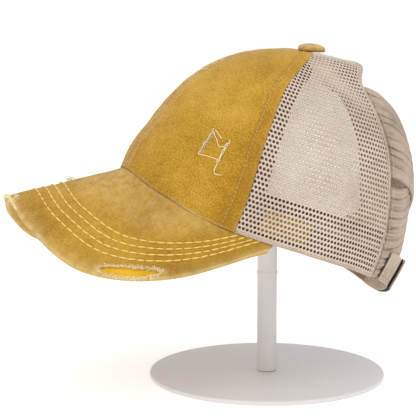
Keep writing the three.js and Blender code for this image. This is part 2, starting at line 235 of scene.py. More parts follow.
def through_mirrored(values, place):
    """The same for values that go on mirrored past both ends."""
    return through([values[1], *values, values[-2]], place + 1)


def section(column, row):
    return through(SECTIONS[column], row)


def smoothstep(x, low, high):
    t = np.clip((x - low) / (high - low), 0, 1)
    return t * t * (3 - 2 * t)


def crown_skin(angle, row):
    """Outer skin of the crown, in the cap's own frame, at angles in degrees and rows."""
    angle, row = np.broadcast_arrays(np.asarray(angle, float), np.asarray(row, float))
    forward = np.cos(np.radians(angle))
    reach = np.where(
        forward > 0, section("front", row) * CROWN_FRONT, section("back", row) * CROWN_BACK,
    )
    around = np.abs((angle + 540) % 360 - 180)
    rise = section("rise", row)
    hump = section("hump", row) * (1 - forward) / 2
    return np.stack([
        section("side", row) * CROWN_HALF_WIDTH * np.sin(np.radians(angle)),
        -reach * forward,
        CROWN_HEIGHT * (through_mirrored(RIM_LIFTS, around / 30) * (1 - rise) + rise + hump),
    ], -1)


def turn_of(length, row):
    """Angle in degrees that a short length takes at a row."""
    return np.degrees(length / (section("side", row) * CROWN_HALF_WIDTH))


def rows_of(height):
    """Rows that a height above the rim takes."""
    return height / (CROWN_HEIGHT * SECTIONS["rise"][1])


def tilted(vectors):
    """Turns vectors from the cap's own frame to the stand's, where the peak points down a little."""
    x, y, z = np.moveaxis(np.asarray(vectors, float), -1, 0)
    c, s = np.cos(CAP_PITCH), np.sin(CAP_PITCH)
    return np.stack([x, y * c + z * s, -y * s + z * c], -1)


print("the crown's skin has", len(SECTIONS["rise"]), "sections")

# %% [markdown]
# How high the cap sits on the dome was worked out in the CAD model. Here it is measured back
# from the frame: the top of the net panel's box has to be the top of the same stretch of skin.

# %% Height of the cap on its stand
net_angles, net_rows = np.meshgrid(np.linspace(62, 180, 60), np.linspace(5, TOP_ROW, 60))
cap_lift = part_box("mesh_panel_left")[1].z - tilted(crown_skin(net_angles, net_rows))[..., 2].max()


def on_stand(points):
    """Moves points from the cap's own frame to the stand's."""
    return tilted(points) + np.array([0, -CAP_FORWARD, cap_lift])


def outward_of(skin, u, w, step_u, step_w):
    """Unit normals of a skin, away from the inside of the cap."""
    along = skin(u + step_u, w) - skin(u - step_u, w)
    across = skin(u, w + step_w) - skin(u, w - step_w)
    normal = np.cross(along, across)
    return normal / np.linalg.norm(normal, axis=-1, keepdims=True)


def crown(angle, row):
    """Points of the crown and their outward directions, on the stand."""
    angle, row = np.broadcast_arrays(np.asarray(angle, float), np.asarray(row, float))
    return on_stand(crown_skin(angle, row)), tilted(outward_of(crown_skin, angle, row, 0.5, 0.02))


print("the cap's own zero lies", round(cap_lift / MM, 2), "mm above the table")

# %% [markdown]
# Nearly every piece of a cap is a thin wall that follows some skin, so pieces are built from
# grids of points and their outward directions. The steps of a grid are close together over its
# edges, where the wall is rounded, and its lengths tell how far a point lies from each edge.

# %% Steps and distances on a grid
ROOT = "root"
SIDES = (("left", 1), ("right", -1))


def spread_steps(length, spacing, edge):
    """Shares of a length, close together over both edges and evenly spaced between them."""
    rounding = np.array([0, 0.06, 0.25, 0.55, 1]) * edge
    middle = np.linspace(edge, length - edge, max(2, int(round(length / spacing))))
    steps = np.concatenate([rounding[:-1], middle, length - rounding[-2::-1]])
    return steps / length


def grid(u, w):
    """Two arrays that hold the values of u down and the values of w across."""
    return np.meshgrid(u, w, indexing="ij")


def lengths_along(points, axis):
    """Distance run along one direction of a grid of points."""
    runs = np.linalg.norm(np.diff(points, axis=axis), axis=-1)
    start = np.zeros_like(np.take(runs, [0], axis=axis))
    return np.concatenate([start, np.cumsum(runs, axis=axis)], axis=axis)


def grid_distances(points):
    """How far each point lies from the four edges: start and end of u, start and end of w."""
    s, t = lengths_along(points, 0), lengths_along(points, 1)
    return s, s[-1:] - s, t, t[:, -1:] - t


print("every piece rides on", ROOT)

# %% [markdown]
# A wall has an outer and an inner grid, and a strip of faces between their borders. It can leave
# out some of its cells, which is how holes are worn into it.

# %% Walls between two skins
def wall_mesh(name, outer, inner, keep=None, facts=None):
    """Closed mesh between an outer and an inner grid of points. facts are values on each point."""
    nu, nw = outer.shape[:2]
    keep = np.ones((nu - 1, nw - 1), bool) if keep is None else keep
    at = np.arange(nu * nw).reshape(nu, nw)
    i, j = np.nonzero(keep)
    corners = np.stack([at[i, j], at[i + 1, j], at[i + 1, j + 1], at[i, j + 1]], 1)
    faces = [corners, corners[:, ::-1] + nu * nw]
    padded = np.pad(keep, 1)
    for side, (di, dj) in enumerate([(0, -1), (1, 0), (0, 1), (-1, 0)]):
        rim = corners[~padded[i + 1 + di, j + 1 + dj]]
        a, b = rim[:, side], rim[:, (side + 1) % 4]
        faces.append(np.stack([b, a, a + nu * nw, b + nu * nw], 1))
    faces = np.concatenate(faces)
    points = np.concatenate([outer.reshape(-1, 3), inner.reshape(-1, 3)])
    a, b, c, d = (points[faces[:, k]] for k in range(4))
    if np.sum(np.cross(c - a, d - b) * (a + b + c + d)) < 0:
        faces = faces[:, ::-1]
    used, faces = np.unique(faces, return_inverse=True)
    mesh = bpy.data.meshes.new(name)
    mesh.from_pydata(points[used].tolist(), [], faces.reshape(-1, 4).tolist())
    mesh.shade_smooth()
    for fact, values in (facts or {}).items():
        values = np.asarray(values, float)
        kind, key = ("FLOAT_VECTOR", "vector") if values.shape[2:] == (3,) else ("FLOAT", "value")
        flat = values.reshape(nu * nw, -1)
        both = np.concatenate([flat, flat])[used]
        mesh.attributes.new(fact, kind, "POINT").data.foreach_set(key, both.ravel().astype(np.float32))
    return mesh


print("walls can be built")

# %% [markdown]
# The edge of a cloth wall is rounded to half its thickness, because cut or folded cloth has no
# sharp corner. Each point also stores how far it lies along and across the cloth in metres:
# weaves are drawn on those, so that they follow the cloth and keep their real size.

# %% Cloth walls, finishes and flat cuts
def dress(mesh, material, replaces=(), body=ROOT):
    """Makes a mesh a piece of the object: its finish, its body and what it stands for."""
    if material is not None:
        mesh.materials.clear()
        mesh.materials.append(material)
    piece = in_scene(mesh.name, mesh)
    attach(piece, body)
    if replaces:
        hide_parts(*replaces)
    return piece


def cloth_wall(name, points, outward, thickness, relief=0.0, under=None, keep=None, facts=None):
    """Wall whose outer face lies on the points plus a relief, with its edges rounded."""
    from_edge = np.minimum.reduce(grid_distances(points))
    radius = thickness / 2
    round_off = radius - np.sqrt(radius**2 - (radius - np.minimum(from_edge, radius))**2)
    relief = np.broadcast_to(relief, from_edge.shape)
    under = relief if under is None else under
    outer = points + outward * (relief - round_off)[..., None]
    inner = points + outward * (under - thickness + round_off)[..., None]
    s, _, t, _ = grid_distances(points)
    facts = {"cloth": np.stack([s, t, 0 * s], -1), **(facts or {})}
    return wall_mesh(name, outer, inner, keep, facts)


def triangles(mesh):
    mesh.calc_loop_triangles()
    return len(mesh.loop_triangles)


def cut_from(piece, points, gather=1.0):
    """Declares a piece as a sheet of cloth whose flat cut is as long and wide as its grid of
    points, and wider by the gather. A sheet is at least 10 mm wide and fills 30% of its cut."""
    size = [float(lengths_along(points, axis).max()) for axis in (0, 1)]
    size[1] = max(size[1] * gather, 10 * MM)
    print(f"  {piece.name}: cut to {size[0] / MM:.0f} x {size[1] / MM:.0f} mm")


def waves(points, size, seed, count=14):
    """Smooth uneven field from about -1 to 1 whose bumps have the given size."""
    draw = np.random.default_rng(seed)
    ways = draw.normal(size=(count, 3))
    ways *= (2 * np.pi / size * draw.uniform(0.6, 1.4, count) / np.linalg.norm(ways, axis=1))[:, None]
    return np.sin(points @ ways.T + draw.uniform(0, 2 * np.pi, count)).sum(-1) / np.sqrt(count)


print("cloth can be cut")

# %% [markdown]
# Washed cotton twill. It is woven with a fine diagonal rib, dyed mustard after sewing and then
# tumbled until the raised edges go pale, so its colour is uneven at three sizes: cloudy patches
# of a few centimetres, a mottle of a few millimetres, and the fleck of single yarns. Real twill
# has about two ribs a millimetre, which no picture of a whole cap can show, so the rib is drawn
# at 1 mm. The wear comes from a value on each point, broken up by noise, as worn dye is.

# %% Cloth from its colours and its rib
FLECK_SIZE = 1.1 * MM
MOTTLE_SIZE = 4.5 * MM


def matt_cloth(name, colours, rib_mm, rib_depth, patch_mm=28.0, sheen=0.25, roughness=0.9, fleck=0.35):
    """Woven cloth: its deep, middle, pale and worn colour, and the spacing of its rib."""
    material, tree = blank_material(name)
    place = node(tree, "ShaderNodeTexCoord").outputs["Object"]
    cloth = node(tree, "ShaderNodeAttribute", attribute_name="cloth").outputs["Vector"]
    wear = node(tree, "ShaderNodeAttribute", attribute_name="wear").outputs["Fac"]
    deep = node(tree, "ShaderNodeAttribute", attribute_name="deep").outputs["Fac"]

    patches = node(tree, "ShaderNodeTexNoise", {
        "Vector": place, "Scale": 1 / (patch_mm * MM), "Detail": 5.0, "Roughness": 0.62,
    }).outputs["Fac"]
    flecks = node(tree, "ShaderNodeTexNoise", {
        "Vector": cloth, "Scale": 1 / FLECK_SIZE, "Detail": 2.0, "Roughness": 0.7,
    }).outputs["Fac"]
    mottle = node(tree, "ShaderNodeTexNoise", {
        "Vector": place, "Scale": 1 / MOTTLE_SIZE, "Detail": 3.0, "Roughness": 0.6,
    }).outputs["Fac"]
    mottled = node(tree, MATH, (mottle, 0.35, -0.175), operation="MULTIPLY_ADD")
    flecked = node(tree, MATH, (flecks, fleck, -fleck / 2), operation="MULTIPLY_ADD")
    tone = node(tree, MATH, (patches, mottled), operation="ADD")
    tone = node(tree, MATH, (flecked, tone), operation="ADD")
    tone = node(tree, MATH, (tone, deep), operation="SUBTRACT")
    dyed = node(tree, "ShaderNodeValToRGB", {"Fac": tone})
    stops = dyed.color_ramp.elements
    stops.new(0.5)
    for stop, share, colour in zip(stops, (0.22, 0.5, 0.85), colours):
        stop.position, stop.color = share, linear(colour)

    broken = node(tree, MATH, (mottle, 1.1, -0.05), operation="MULTIPLY_ADD", use_clamp=True)
    worn = node(tree, MATH, (wear, broken), operation="MULTIPLY", use_clamp=True)
    colour = node(tree, "ShaderNodeMix", {
        "Factor_Float": worn,
        "A_Color": dyed.outputs["Color"],
        "B_Color": linear(colours[3]),
    }, data_type="RGBA").outputs[2]

    rib = node(tree, "ShaderNodeTexWave", {
        "Vector": cloth, "Scale": 2 * np.pi / (10 * rib_mm * MM) / np.sqrt(2), "Distortion": 0.6,
        "Detail": 1.0, "Detail Scale": 2.0,
    }, bands_direction="DIAGONAL")
    grain = node(tree, MATH, (rib.outputs["Fac"], flecks), operation="ADD")
    bump = node(tree, "ShaderNodeBump", {"Height": grain, "Strength": 0.5, "Distance": rib_depth * MM})
    shader = node(tree, "ShaderNodeBsdfPrincipled", {
        "Base Color": colour,
        "Normal": bump.outputs["Normal"],
        "Roughness": roughness,
        "IOR": 1.46,
        "Specular IOR Level": 0.25,
        "Sheen Weight": sheen,
        "Sheen Roughness": 0.5,
    })
    node(tree, "ShaderNodeOutputMaterial", {"Surface": shader})
    return material


print("fleck and mottle are", FLECK_SIZE / MM, "and", MOTTLE_SIZE / MM, "mm")

# %% [markdown]
# The same function dyes every cloth of the cap. They differ in colour, rib, sheen and fleck.

# %% Cloth materials
# Washed twill is dry and chalky: hardly any sheen, and strong flecks where the dye has gone.
COTTON_COLOURS = ("#9F7219", "#BC8F28", "#D0A545", "#E5CF98")
washed_twill = matt_cloth(
    "washed_cotton_twill", COTTON_COLOURS, rib_mm=1.0, rib_depth=0.35, sheen=0.1, fleck=1.5,
)
# The cloth over the board was never washed thin, so its yellow is bright and even.
board_cloth = matt_cloth(
    "yellow_cotton_over_peak_board", ("#DB9F10", "#F2BB1C", "#F9CF45", "#FBE38C"), 0.8, 0.2,
)
# Polyester yarn is smooth and dyed through: one even beige, less rough than cotton.
net_yarn = matt_cloth(
    "knitted_polyester_yarn", ("#BDA996", "#D6C5B4", "#E5D7C9", "#F2E9DF"), 0.5, 0.06,
    patch_mm=40, sheen=0.15, roughness=0.7, fleck=0.2,
)
# Folded over, the net has no holes left, and its loops show as a coarse soft weave.
hem_cloth = matt_cloth(
    "folded_net_hem", ("#9C8873", "#B7A490", "#C6B5A2", "#E4D8CA"), 0.9, 0.12,
    patch_mm=30, sheen=0.15, roughness=0.8, fleck=0.3,
)
# Brushed jersey has a soft bloom over its folds, which sheen gives.
gathered_jersey = matt_cloth(
    "gathered_cotton_jersey", ("#927D69", "#B7A28D", "#C9B7A4", "#D9CBBA"), 0.7, 0.12,
    patch_mm=30, sheen=0.2, fleck=0.25,
)
# Herringbone tape is dense and dark. Its worn colour is the pale stripe woven into it.
brown_tape = matt_cloth(
    "brown_herringbone_tape", ("#553E29", "#765840", "#8A6E55", "#DDD3C6"), 1.2, 0.2, patch_mm=18,
)
# A woven label is fine and flat, in the crown's own mustard.
label_cloth = matt_cloth("woven_label_cloth", ("#A77A22", "#C3932F", "#D0A84A", "#E0CB98"), 0.6, 0.1)
# The strap is a dusty rose cotton whose edges have rubbed pale.
strap_cloth = matt_cloth(
    "dusty_cotton_strap", ("#7E5C4A", "#9C7865", "#AF8D7A", "#CDB5A4"), 0.9, 0.15, patch_mm=15,
)
# Nylon hooks are black and catch small lights, so they are the least rough of the cloths.
hook_tape = matt_cloth(
    "black_nylon_hook_tape", ("#0D0C0C", "#181716", "#242220", "#3A3733"), 0.8, 0.15,
    patch_mm=8, sheen=0.05, roughness=0.6,
)
print("made", len(bpy.data.materials) - 1, "cloths")

# %% [markdown]
# Threads: the peak is sewn with a thick bright yellow cotton thread, the crown with a thin one
# that has faded towards pink, and the worn places show undyed cream yarn. A twisted thread
# shines a little along its length, so its roughness is lower than the cloth's.

# %% Thread materials
TWIST_SIZE = 0.6 * MM


def thread(name, colours, roughness=0.6):
    """Twisted thread between two colours."""
    material, tree = blank_material(name)
    place = node(tree, "ShaderNodeTexCoord").outputs["Object"]
    twist = node(tree, "ShaderNodeTexNoise", {"Vector": place, "Scale": 1 / TWIST_SIZE, "Detail": 1.0})
    tint = node(tree, "ShaderNodeMix", {
        "Factor_Float": twist.outputs["Fac"],
        "A_Color": linear(colours[0]),
        "B_Color": linear(colours[1]),
    }, data_type="RGBA")
    bump = node(tree, "ShaderNodeBump", {
        "Height": twist.outputs["Fac"], "Strength": 0.4, "Distance": 0.1 * MM,
    })
    shader = node(tree, "ShaderNodeBsdfPrincipled", {
        "Base Color": tint.outputs[2],
        "Normal": bump.outputs["Normal"],
        "Roughness": roughness,
        "IOR": 1.5,
        "Sheen Weight": 0.3,
    })
    node(tree, "ShaderNodeOutputMaterial", {"Surface": shader})
    return material


# Sewing thread is tight, so it shines a little. Yarn from worn cloth is loose, and duller.
bright_thread = thread("bright_yellow_thread", ("#E8B838", "#FFE07A"))
faded_thread = thread("faded_pink_thread", ("#B48A5E", "#DDBB93"))
net_thread = thread("beige_polyester_thread", ("#CDBBA8", "#EDE2D6"))
cream_yarn = thread("undyed_cotton_yarn", ("#F2E2A6", "#FFF7D6"), roughness=0.8)
raw_yellow_yarn = thread("raw_yellow_yarn", ("#E0B84C", "#F4DC8C"), roughness=0.8)
print("made five threads")

# %% [markdown]
# The stand is plain: a dome pressed from white plastic with a fine satin grain, and a pole and
# foot of steel under light grey paint, whose faint orange peel softens what it mirrors.

# %% Stand materials
CLOUD_SIZE = 35 * MM


def coated(name, colours, roughness, grain_mm, grain_depth, glow=0.0):
    """Smooth moulded or painted surface with a fine grain."""
    material, tree = blank_material(name)
    place = node(tree, "ShaderNodeTexCoord").outputs["Object"]
    grain = node(tree, "ShaderNodeTexNoise", {"Vector": place, "Scale": 1 / (grain_mm * MM), "Detail": 3.0})
    clouds = node(tree, "ShaderNodeTexNoise", {"Vector": place, "Scale": 1 / CLOUD_SIZE, "Detail": 2.0})
    tint = node(tree, "ShaderNodeMix", {
        "Factor_Float": clouds.outputs["Fac"],
        "A_Color": linear(colours[0]),
        "B_Color": linear(colours[1]),
    }, data_type="RGBA")
    dull = node(tree, "ShaderNodeMapRange", {
        "Value": grain.outputs["Fac"], "To Min": roughness - 0.06, "To Max": roughness + 0.06,
    })
    bump = node(tree, "ShaderNodeBump", {
        "Height": grain.outputs["Fac"], "Strength": 0.3, "Distance": grain_depth * MM,
    })
    shader = node(tree, "ShaderNodeBsdfPrincipled", {
        "Base Color": tint.outputs[2],
        "Normal": bump.outputs["Normal"],
        "Roughness": dull,
        "IOR": 1.5,
        "Emission Color": linear(colours[1]),
        "Emission Strength": glow,
    })
    node(tree, "ShaderNodeOutputMaterial", {"Surface": shader})
    return material


# Pressed plastic is evenly white with a satin gloss. Its faint glow stands in for the light that
# thin yarns let through to it.
satin_plastic = coated("satin_moulded_plastic", ("#F4F2F0", "#FCFAF8"), 0.5, 0.7, 0.05, glow=0.3)
# Powder paint over steel is a little glossier, with broad gentle dimples.
grey_paint = coated("light_grey_powder_paint", ("#D9D6D6", "#E1DFE0"), 0.42, 1.2, 0.06)
print("made the stand's finishes")

# %% [markdown]
# Stitches, net holes, pleats, frays and hooks repeat, so Geometry Nodes make them. A tree is
# built here once and run on a plain source mesh: its named inputs are set, the result is turned
# into an ordinary mesh, and the modifier goes. Every tree ends the same way: instances become
# real faces, the faces are smoothed, and the material is set.

# %% Helpers for geometry trees
GEOMETRY, LENGTH, WHOLE, MATERIAL = (
    "NodeSocketGeometry", "NodeSocketFloat", "NodeSocketInt", "NodeSocketMaterial",
)


def geometry_tree(name, inputs):
    """A tree with a mesh in, a mesh out and named inputs. Gives it with its input node."""
    tree = bpy.data.node_groups.new(name, "GeometryNodeTree")
    tree.interface.new_socket("Mesh", in_out="OUTPUT", socket_type=GEOMETRY)
    for title, kind in {"Mesh": GEOMETRY, **inputs, "Material": MATERIAL}.items():
        tree.interface.new_socket(title, in_out="INPUT", socket_type=kind)
    return tree, node(tree, "NodeGroupInput").outputs


def close_tree(tree, geometry, given):
    real = node(tree, "GeometryNodeRealizeInstances", {"Geometry": geometry})
    smooth = node(tree, "GeometryNodeSetShadeSmooth", {"Geometry": real})
    made = node(tree, "GeometryNodeSetMaterial", {
        "Geometry": smooth, "Material": given["Material"],
    })
    node(tree, "NodeGroupOutput", {"Mesh": made})
    return tree


def grown(name, tree, source, **values):
    """Plain mesh that a tree makes from a source mesh. The values go to its named inputs."""
    host = in_scene(name, source)
    modifier = host.modifiers.new(tree.name, "NODES")
    modifier.node_group = tree
    for item in tree.interface.items_tree:
        title = item.name.replace(" ", "_").lower()
        if item.in_out == "INPUT" and title in values:
            modifier[item.identifier] = values[title]
    graph = bpy.context.evaluated_depsgraph_get()
    made = bpy.data.meshes.new_from_object(
        host.evaluated_get(graph), preserve_all_data_layers=True, depsgraph=graph,
    )
    made.name = name
    host.modifiers.remove(modifier)
    bpy.data.objects.remove(host)
    print(name, "has", triangles(made), "triangles")
    return made


def turned_further(tree, rotation, angles):
    """A rotation, turned by small angles about its own axes."""
    turn = node(tree, "FunctionNodeEulerToRotation", (angles,))
    return node(tree, "FunctionNodeRotateRotation", {
        "Rotation": rotation, "Rotate By": turn,
    }, rotation_space="LOCAL")


def yarn_along(tree, curve, length, yarn, sides):
    """Short yarn along a curve that is drawn about one unit long."""
    sized = node(tree, "GeometryNodeTransform", {
        "Geometry": curve,
        "Scale": node(tree, "ShaderNodeCombineXYZ", (length, length, length)),
    })
    ring = node(tree, "GeometryNodeCurvePrimitiveCircle", {"Resolution": sides, "Radius": yarn})
    return node(tree, "GeometryNodeCurveToMesh", {
        "Curve": sized, "Profile Curve": ring, "Fill Caps": True,
    })


print("trees can be built and run")

# %% [markdown]
# A row of stitches is one thread that dives in and out of the cloth, so what shows is a line of
# short fat grains. The tree cuts a path into even lengths and lays one grain on each cut, turned
# along the path and a little uneven, as a machine on soft cloth sews.

# %% Stitches
stitching, given = geometry_tree("stitches", {
    "Pitch": LENGTH, "Stitch Length": LENGTH, "Thread": LENGTH, "Sides": WHOLE, "Seed": WHOLE,
})
cuts = node(stitching, "GeometryNodeResampleCurve", {
    "Curve": node(stitching, "GeometryNodeMeshToCurve", {"Mesh": given["Mesh"]}),
    "Length": given["Pitch"],
}, mode="LENGTH")
along = node(stitching, "FunctionNodeAlignRotationToVector", {
    "Vector": node(stitching, "GeometryNodeInputTangent"),
}, axis="X")
uneven = node(stitching, "FunctionNodeRandomValue", {
    "Min": (0.86, 0.88, 0.88), "Max": (1.08, 1.12, 1.12), "Seed": given["Seed"],
}, **VECTORS)
lean = node(stitching, "FunctionNodeRandomValue", {
    "Min": (-0.06, -0.06, -0.07), "Max": (0.06, 0.06, 0.07), "Seed": given["Seed"],
}, **VECTORS)
size = node(stitching, "ShaderNodeCombineXYZ", {
    "X": given["Stitch Length"], "Y": given["Thread"], "Z": given["Thread"],
})
grain = node(stitching, "GeometryNodeMeshUVSphere", {
    "Segments": given["Sides"], "Rings": given["Sides"], "Radius": 0.5,
})
stitch_row = node(stitching, "GeometryNodeInstanceOnPoints", {
    "Points": cuts,
    "Instance": grain,
    "Rotation": turned_further(stitching, along, lean),
    "Scale": node(stitching, VECTOR_MATH, (size, uneven), **TIMES),
})
close_tree(stitching, stitch_row, given)


def path_mesh(name, paths, facts=None):
    """Mesh of open lines through lists of points, for the trees that follow a path."""
    points, edges = [], []
    for path in paths:
        start = len(points)
        points.extend(np.asarray(path).tolist())
        edges.extend((start + k, start + k + 1) for k in range(len(path) - 1))
    mesh = bpy.data.meshes.new(name)
    mesh.from_pydata(points, edges, [])
    for fact, values in (facts or {}).items():
        flat = np.concatenate(values).astype(np.float32).ravel()
        mesh.attributes.new(fact, "FLOAT_VECTOR", "POINT").data.foreach_set("vector", flat)
    return mesh


def sewn(name, paths, pitch, length, width, material, seed, sides=6):
    """Rows of stitches along paths, as one piece."""
    source = path_mesh(f"{name}_path", paths)
    made = grown(
        name, stitching, source, pitch=pitch, stitch_length=length, thread=width,
        sides=sides, seed=seed, material=material,
    )
    return dress(made, None)


print("stitches can be sewn")

# %% [markdown]
# The front of the crown is two panels of cotton twill, sewn together down the middle of the
# front. The seam allowances are pressed open and stitched down on both sides, which raises a
# flat ridge about 7 mm wide with a valley at the seam and a furrow under each row of thread. A
# third row holds the tape behind the net seam.

# %% Seams and swell of the crown's cloth
CENTRE_ROWS = (2.9 * MM, 6.1 * MM)
CENTRE_ALLOWANCE = 6.9 * MM
SIDE_ROW = 7.3 * MM
CLOTH_STEP = 1.2 * MM


def half_gap(row):
    """Half the gap between two panels at a row, as an angle."""
    return turn_of(SEAM_GAP / 2, row)


def mesh_end(row):
    """Angle of the net's back edge, with the arch of the upper opening."""
    share = np.clip((row - ARCH_FOOT) / (ARCH_TOP - ARCH_FOOT), 0, 1)
    middle = 180 - half_gap(row)
    return middle + (section("mesh_end", row) - middle) * np.sqrt(1 - share**2)


def even_values(line, low, high, spacing, edge):
    """Values at which a line on a skin is cut into even lengths, closer at its two ends."""
    fine = np.linspace(low, high, 500)
    run = lengths_along(line(fine), 0)
    return np.interp(spread_steps(run[-1], spacing, edge) * run[-1], run, fine)


def gaussian(distance, width):
    return np.exp(-(distance / width) ** 2)


def seam_relief(distance, rows, allowance):
    """Height of the cloth beside a pressed-open seam with rows of stitches."""
    height = 0.34 * (1 - smoothstep(distance, allowance - 0.9 * MM, allowance + 1.1 * MM))
    height = height - 0.45 * gaussian(distance, 0.7 * MM)
    for row in rows:
        height = height - 0.26 * gaussian(distance - row, 0.6 * MM)
    return height * MM


def cloth_swell(points):
    """Slow unevenness of the crown's cloth."""
    return waves(points, 42 * MM, 3) * 0.4 * MM + waves(points, 15 * MM, 5) * 0.12 * MM


def crown_path(angle, row, lift):
    """Points of a line on the crown's cloth, lifted off it."""
    points, outward = crown(angle, row)
    return points + outward * (cloth_swell(points) + lift)[..., None]


print("the arch opens", round(float(180 - mesh_end(ARCH_FOOT))), "degrees to each side of the back")

# %% [markdown]
# A panel's relief is worked out from how far each point lies from its edges, and so is the wear:
# pale on ridges, deeper where dye stays. That puts both exactly where the seams are.

# %% Front panels
SEAM_ROWS = np.linspace(0.05, 7.6, 120)


def front_panel(word, side):
    """One cotton panel: 1 is the left side and -1 the right."""
    shares = spread_steps(105 * MM, CLOTH_STEP, 0.6 * MM)
    rows = even_values(lambda r: crown_skin(35, r), 0, TOP_ROW, CLOTH_STEP, 0.6 * MM)
    u, row = grid(shares, rows)
    start, end = half_gap(row), section("seam", row) - half_gap(row)
    points, outward = crown(side * (start + (end - start) * u), row)
    from_centre, from_side, from_rim, _ = grid_distances(points)
    pucker = 0.07 * MM * np.sin(from_rim * 2 * np.pi / (5.2 * MM) + 2 * waves(points, 20 * MM, 7))
    near_seams = gaussian(from_centre - 4.5 * MM, 3 * MM) + gaussian(from_side - SIDE_ROW, 2.5 * MM)
    relief = (
        seam_relief(from_centre, CENTRE_ROWS, CENTRE_ALLOWANCE)
        + seam_relief(from_side, (SIDE_ROW,), SIDE_ROW + 0.8 * MM)
        + pucker * near_seams
        + cloth_swell(points)
    )
    uneven = 0.75 + 0.25 * waves(points, 9 * MM, 11)
    wear = uneven * (
        0.85 * gaussian(from_centre - 0.9 * MM, 0.7 * MM)
        + 0.6 * gaussian(from_centre - 3.9 * MM, 0.7 * MM)
        + 0.5 * gaussian(from_centre - CENTRE_ALLOWANCE, 0.8 * MM)
        + 0.22 * gaussian(from_side - 1.0 * MM, 0.9 * MM)
        + 0.3 * gaussian(from_rim - 0.5 * MM, 0.9 * MM)
    )
    deep = (
        0.07 * (1 - smoothstep(from_rim, 5 * MM, 60 * MM)) - 0.26 * smoothstep(from_rim, 70 * MM, 150 * MM)
        + 0.12 * gaussian(from_side, 16 * MM)
        + 0.12 * gaussian(from_centre, 0.5 * MM)
        + 0.10 * gaussian(from_side - SIDE_ROW, 1.2 * MM)
    )
    mesh = cloth_wall(f"front_cloth_{word}", points, outward, COTTON, relief, facts={
        "wear": np.clip(wear, 0, 1), "deep": deep,
    })
    print(mesh.name, triangles(mesh), "triangles")
    piece = dress(mesh, washed_twill, [f"front_panel_{word}"])


for word, side in SIDES:
    front_panel(word, side)
    centre_lines = [
        crown_path(side * turn_of(d, SEAM_ROWS), SEAM_ROWS, 0.16 * MM) for d in CENTRE_ROWS
    ]
    side_line = crown_path(
        side * (section("seam", SEAM_ROWS) - turn_of(SIDE_ROW, SEAM_ROWS)), SEAM_ROWS, 0.2 * MM,
    )
    sewn(f"centre_stitches_{word}", centre_lines, 2.9 * MM, 2.5 * MM, 0.4 * MM, faded_thread,
         seed=21 + side)
    sewn(f"side_stitches_{word}", [side_line], 2.7 * MM, 2.2 * MM, 0.45 * MM, faded_thread,
         seed=31 + side)

# %% [markdown]
# The peak is two covers of the same twill over a stiff board, sewn together round the edge. It
# leaves the rim of the front panels, arches from side to side and is widest beside the crown's
# corners. One function gives any point of it by its share across (-1 to 1) and out (0 at the
# crown, 1 at the edge). It works in the cap's own frame and follows the CAD model's values.

# %% Skin of the peak
BRIM_LENGTH = 64.5 * MM
BRIM_HALF_WIDTH = 83 * MM
BRIM_DROP = 42 * MM
BRIM_BEND_RADIUS = 140 * MM
BRIM_EDGE_DROPS = [0.386, 0.69, 1, 0.768]
BRIM_ROUND_POWER = 2.13
BRIM_CORNER = 80.5
BRIM_END_SHARE = 0.98
BRIM_SEAT = 0.35 * MM
COVER = 1 * MM
BOARD = 1.4 * MM
BRIM_THICKNESS = 2 * COVER + BOARD + 2 * SEAM_GAP


def brim_edge(share):
    """The peak's edge, in the cap's own frame, by the share across."""
    way = np.abs(share)
    corner = crown_skin(BRIM_CORNER, 0)
    power = 2 / BRIM_ROUND_POWER
    sideways = (
        BRIM_HALF_WIDTH * np.sin(way * np.pi / 2) ** power
        + (corner[0] - BRIM_HALF_WIDTH) * way**6
    )
    tip = -CROWN_FRONT - BRIM_LENGTH
    lengthwise = corner[1] + (tip - corner[1]) * np.maximum(np.cos(way * np.pi / 2), 0) ** power
    drops = [*(-drop * BRIM_DROP for drop in BRIM_EDGE_DROPS), corner[2]]
    height = through([drops[1], *drops], way * (len(drops) - 1) + 1)
    return np.stack([np.sign(share) * sideways, lengthwise, height], -1)


def brim_skin(out, share):
    """Points of the peak's top in the cap's own frame."""
    out, share = np.broadcast_arrays(np.asarray(out, float), np.asarray(share, float))
    angle = share * BRIM_CORNER
    inner = crown_skin(angle, 0 * angle)
    inner = inner - outward_of(crown_skin, angle, 0 * angle, 0.5, 0.02) * COTTON
    inner[..., 2] -= BRIM_SEAT
    edge = brim_edge(share)
    point = inner + (edge - inner) * out[..., None]
    point[..., 2] += out * (1 - out) * (edge - inner)[..., 0] ** 2 / (2 * BRIM_BEND_RADIUS)
    return point


def brim_width(share):
    return np.linalg.norm(brim_skin(1.0, share) - brim_skin(0.0, share), axis=-1)


def brim(share, margin):
    """Points of the peak's top, on the stand, at a distance from its edge, and their normals."""
    share, margin = np.broadcast_arrays(np.asarray(share, float), np.asarray(margin, float))
    out = 1 - margin / brim_width(share)
    normal = outward_of(brim_skin, out, share, 0.01, 0.004)
    return on_stand(brim_skin(out, share)), tilted(normal)


fine_shares = np.linspace(-BRIM_END_SHARE, BRIM_END_SHARE, 800)
edge_run = lengths_along(brim(fine_shares, 0.0)[0], 0)
print("the peak's edge is", round(edge_run[-1] / MM), "mm long")

# %% [markdown]
# Washing and wearing has opened the top cover in two places: a slit beside the edge on the left
# and a rubbed hole at the tip. Both are ragged ovals, measured along the edge and in from it.
# The grid of the cover is cut at half a millimetre there, and its cells inside an oval are left
# out, so the yellow cloth over the board shows through a real opening with a torn outline.

# %% Holes worn into the peak
SLIT = {
    "along": 0.625, "from_edge": 5.9 * MM, "length": 36 * MM, "width": 8.4 * MM, "ragged": 1.1 * MM,
}
TIP_HOLE = {
    "along": 0.03, "from_edge": 1.9 * MM, "length": 7 * MM, "width": 3.4 * MM, "ragged": 0.8 * MM,
}
HOLES = {"slit": SLIT, "tip_hole": TIP_HOLE}
STITCH_MARGINS = [(17.2 + 5.7 * k) * MM for k in range(4)]
LIP = BRIM_THICKNESS / 2


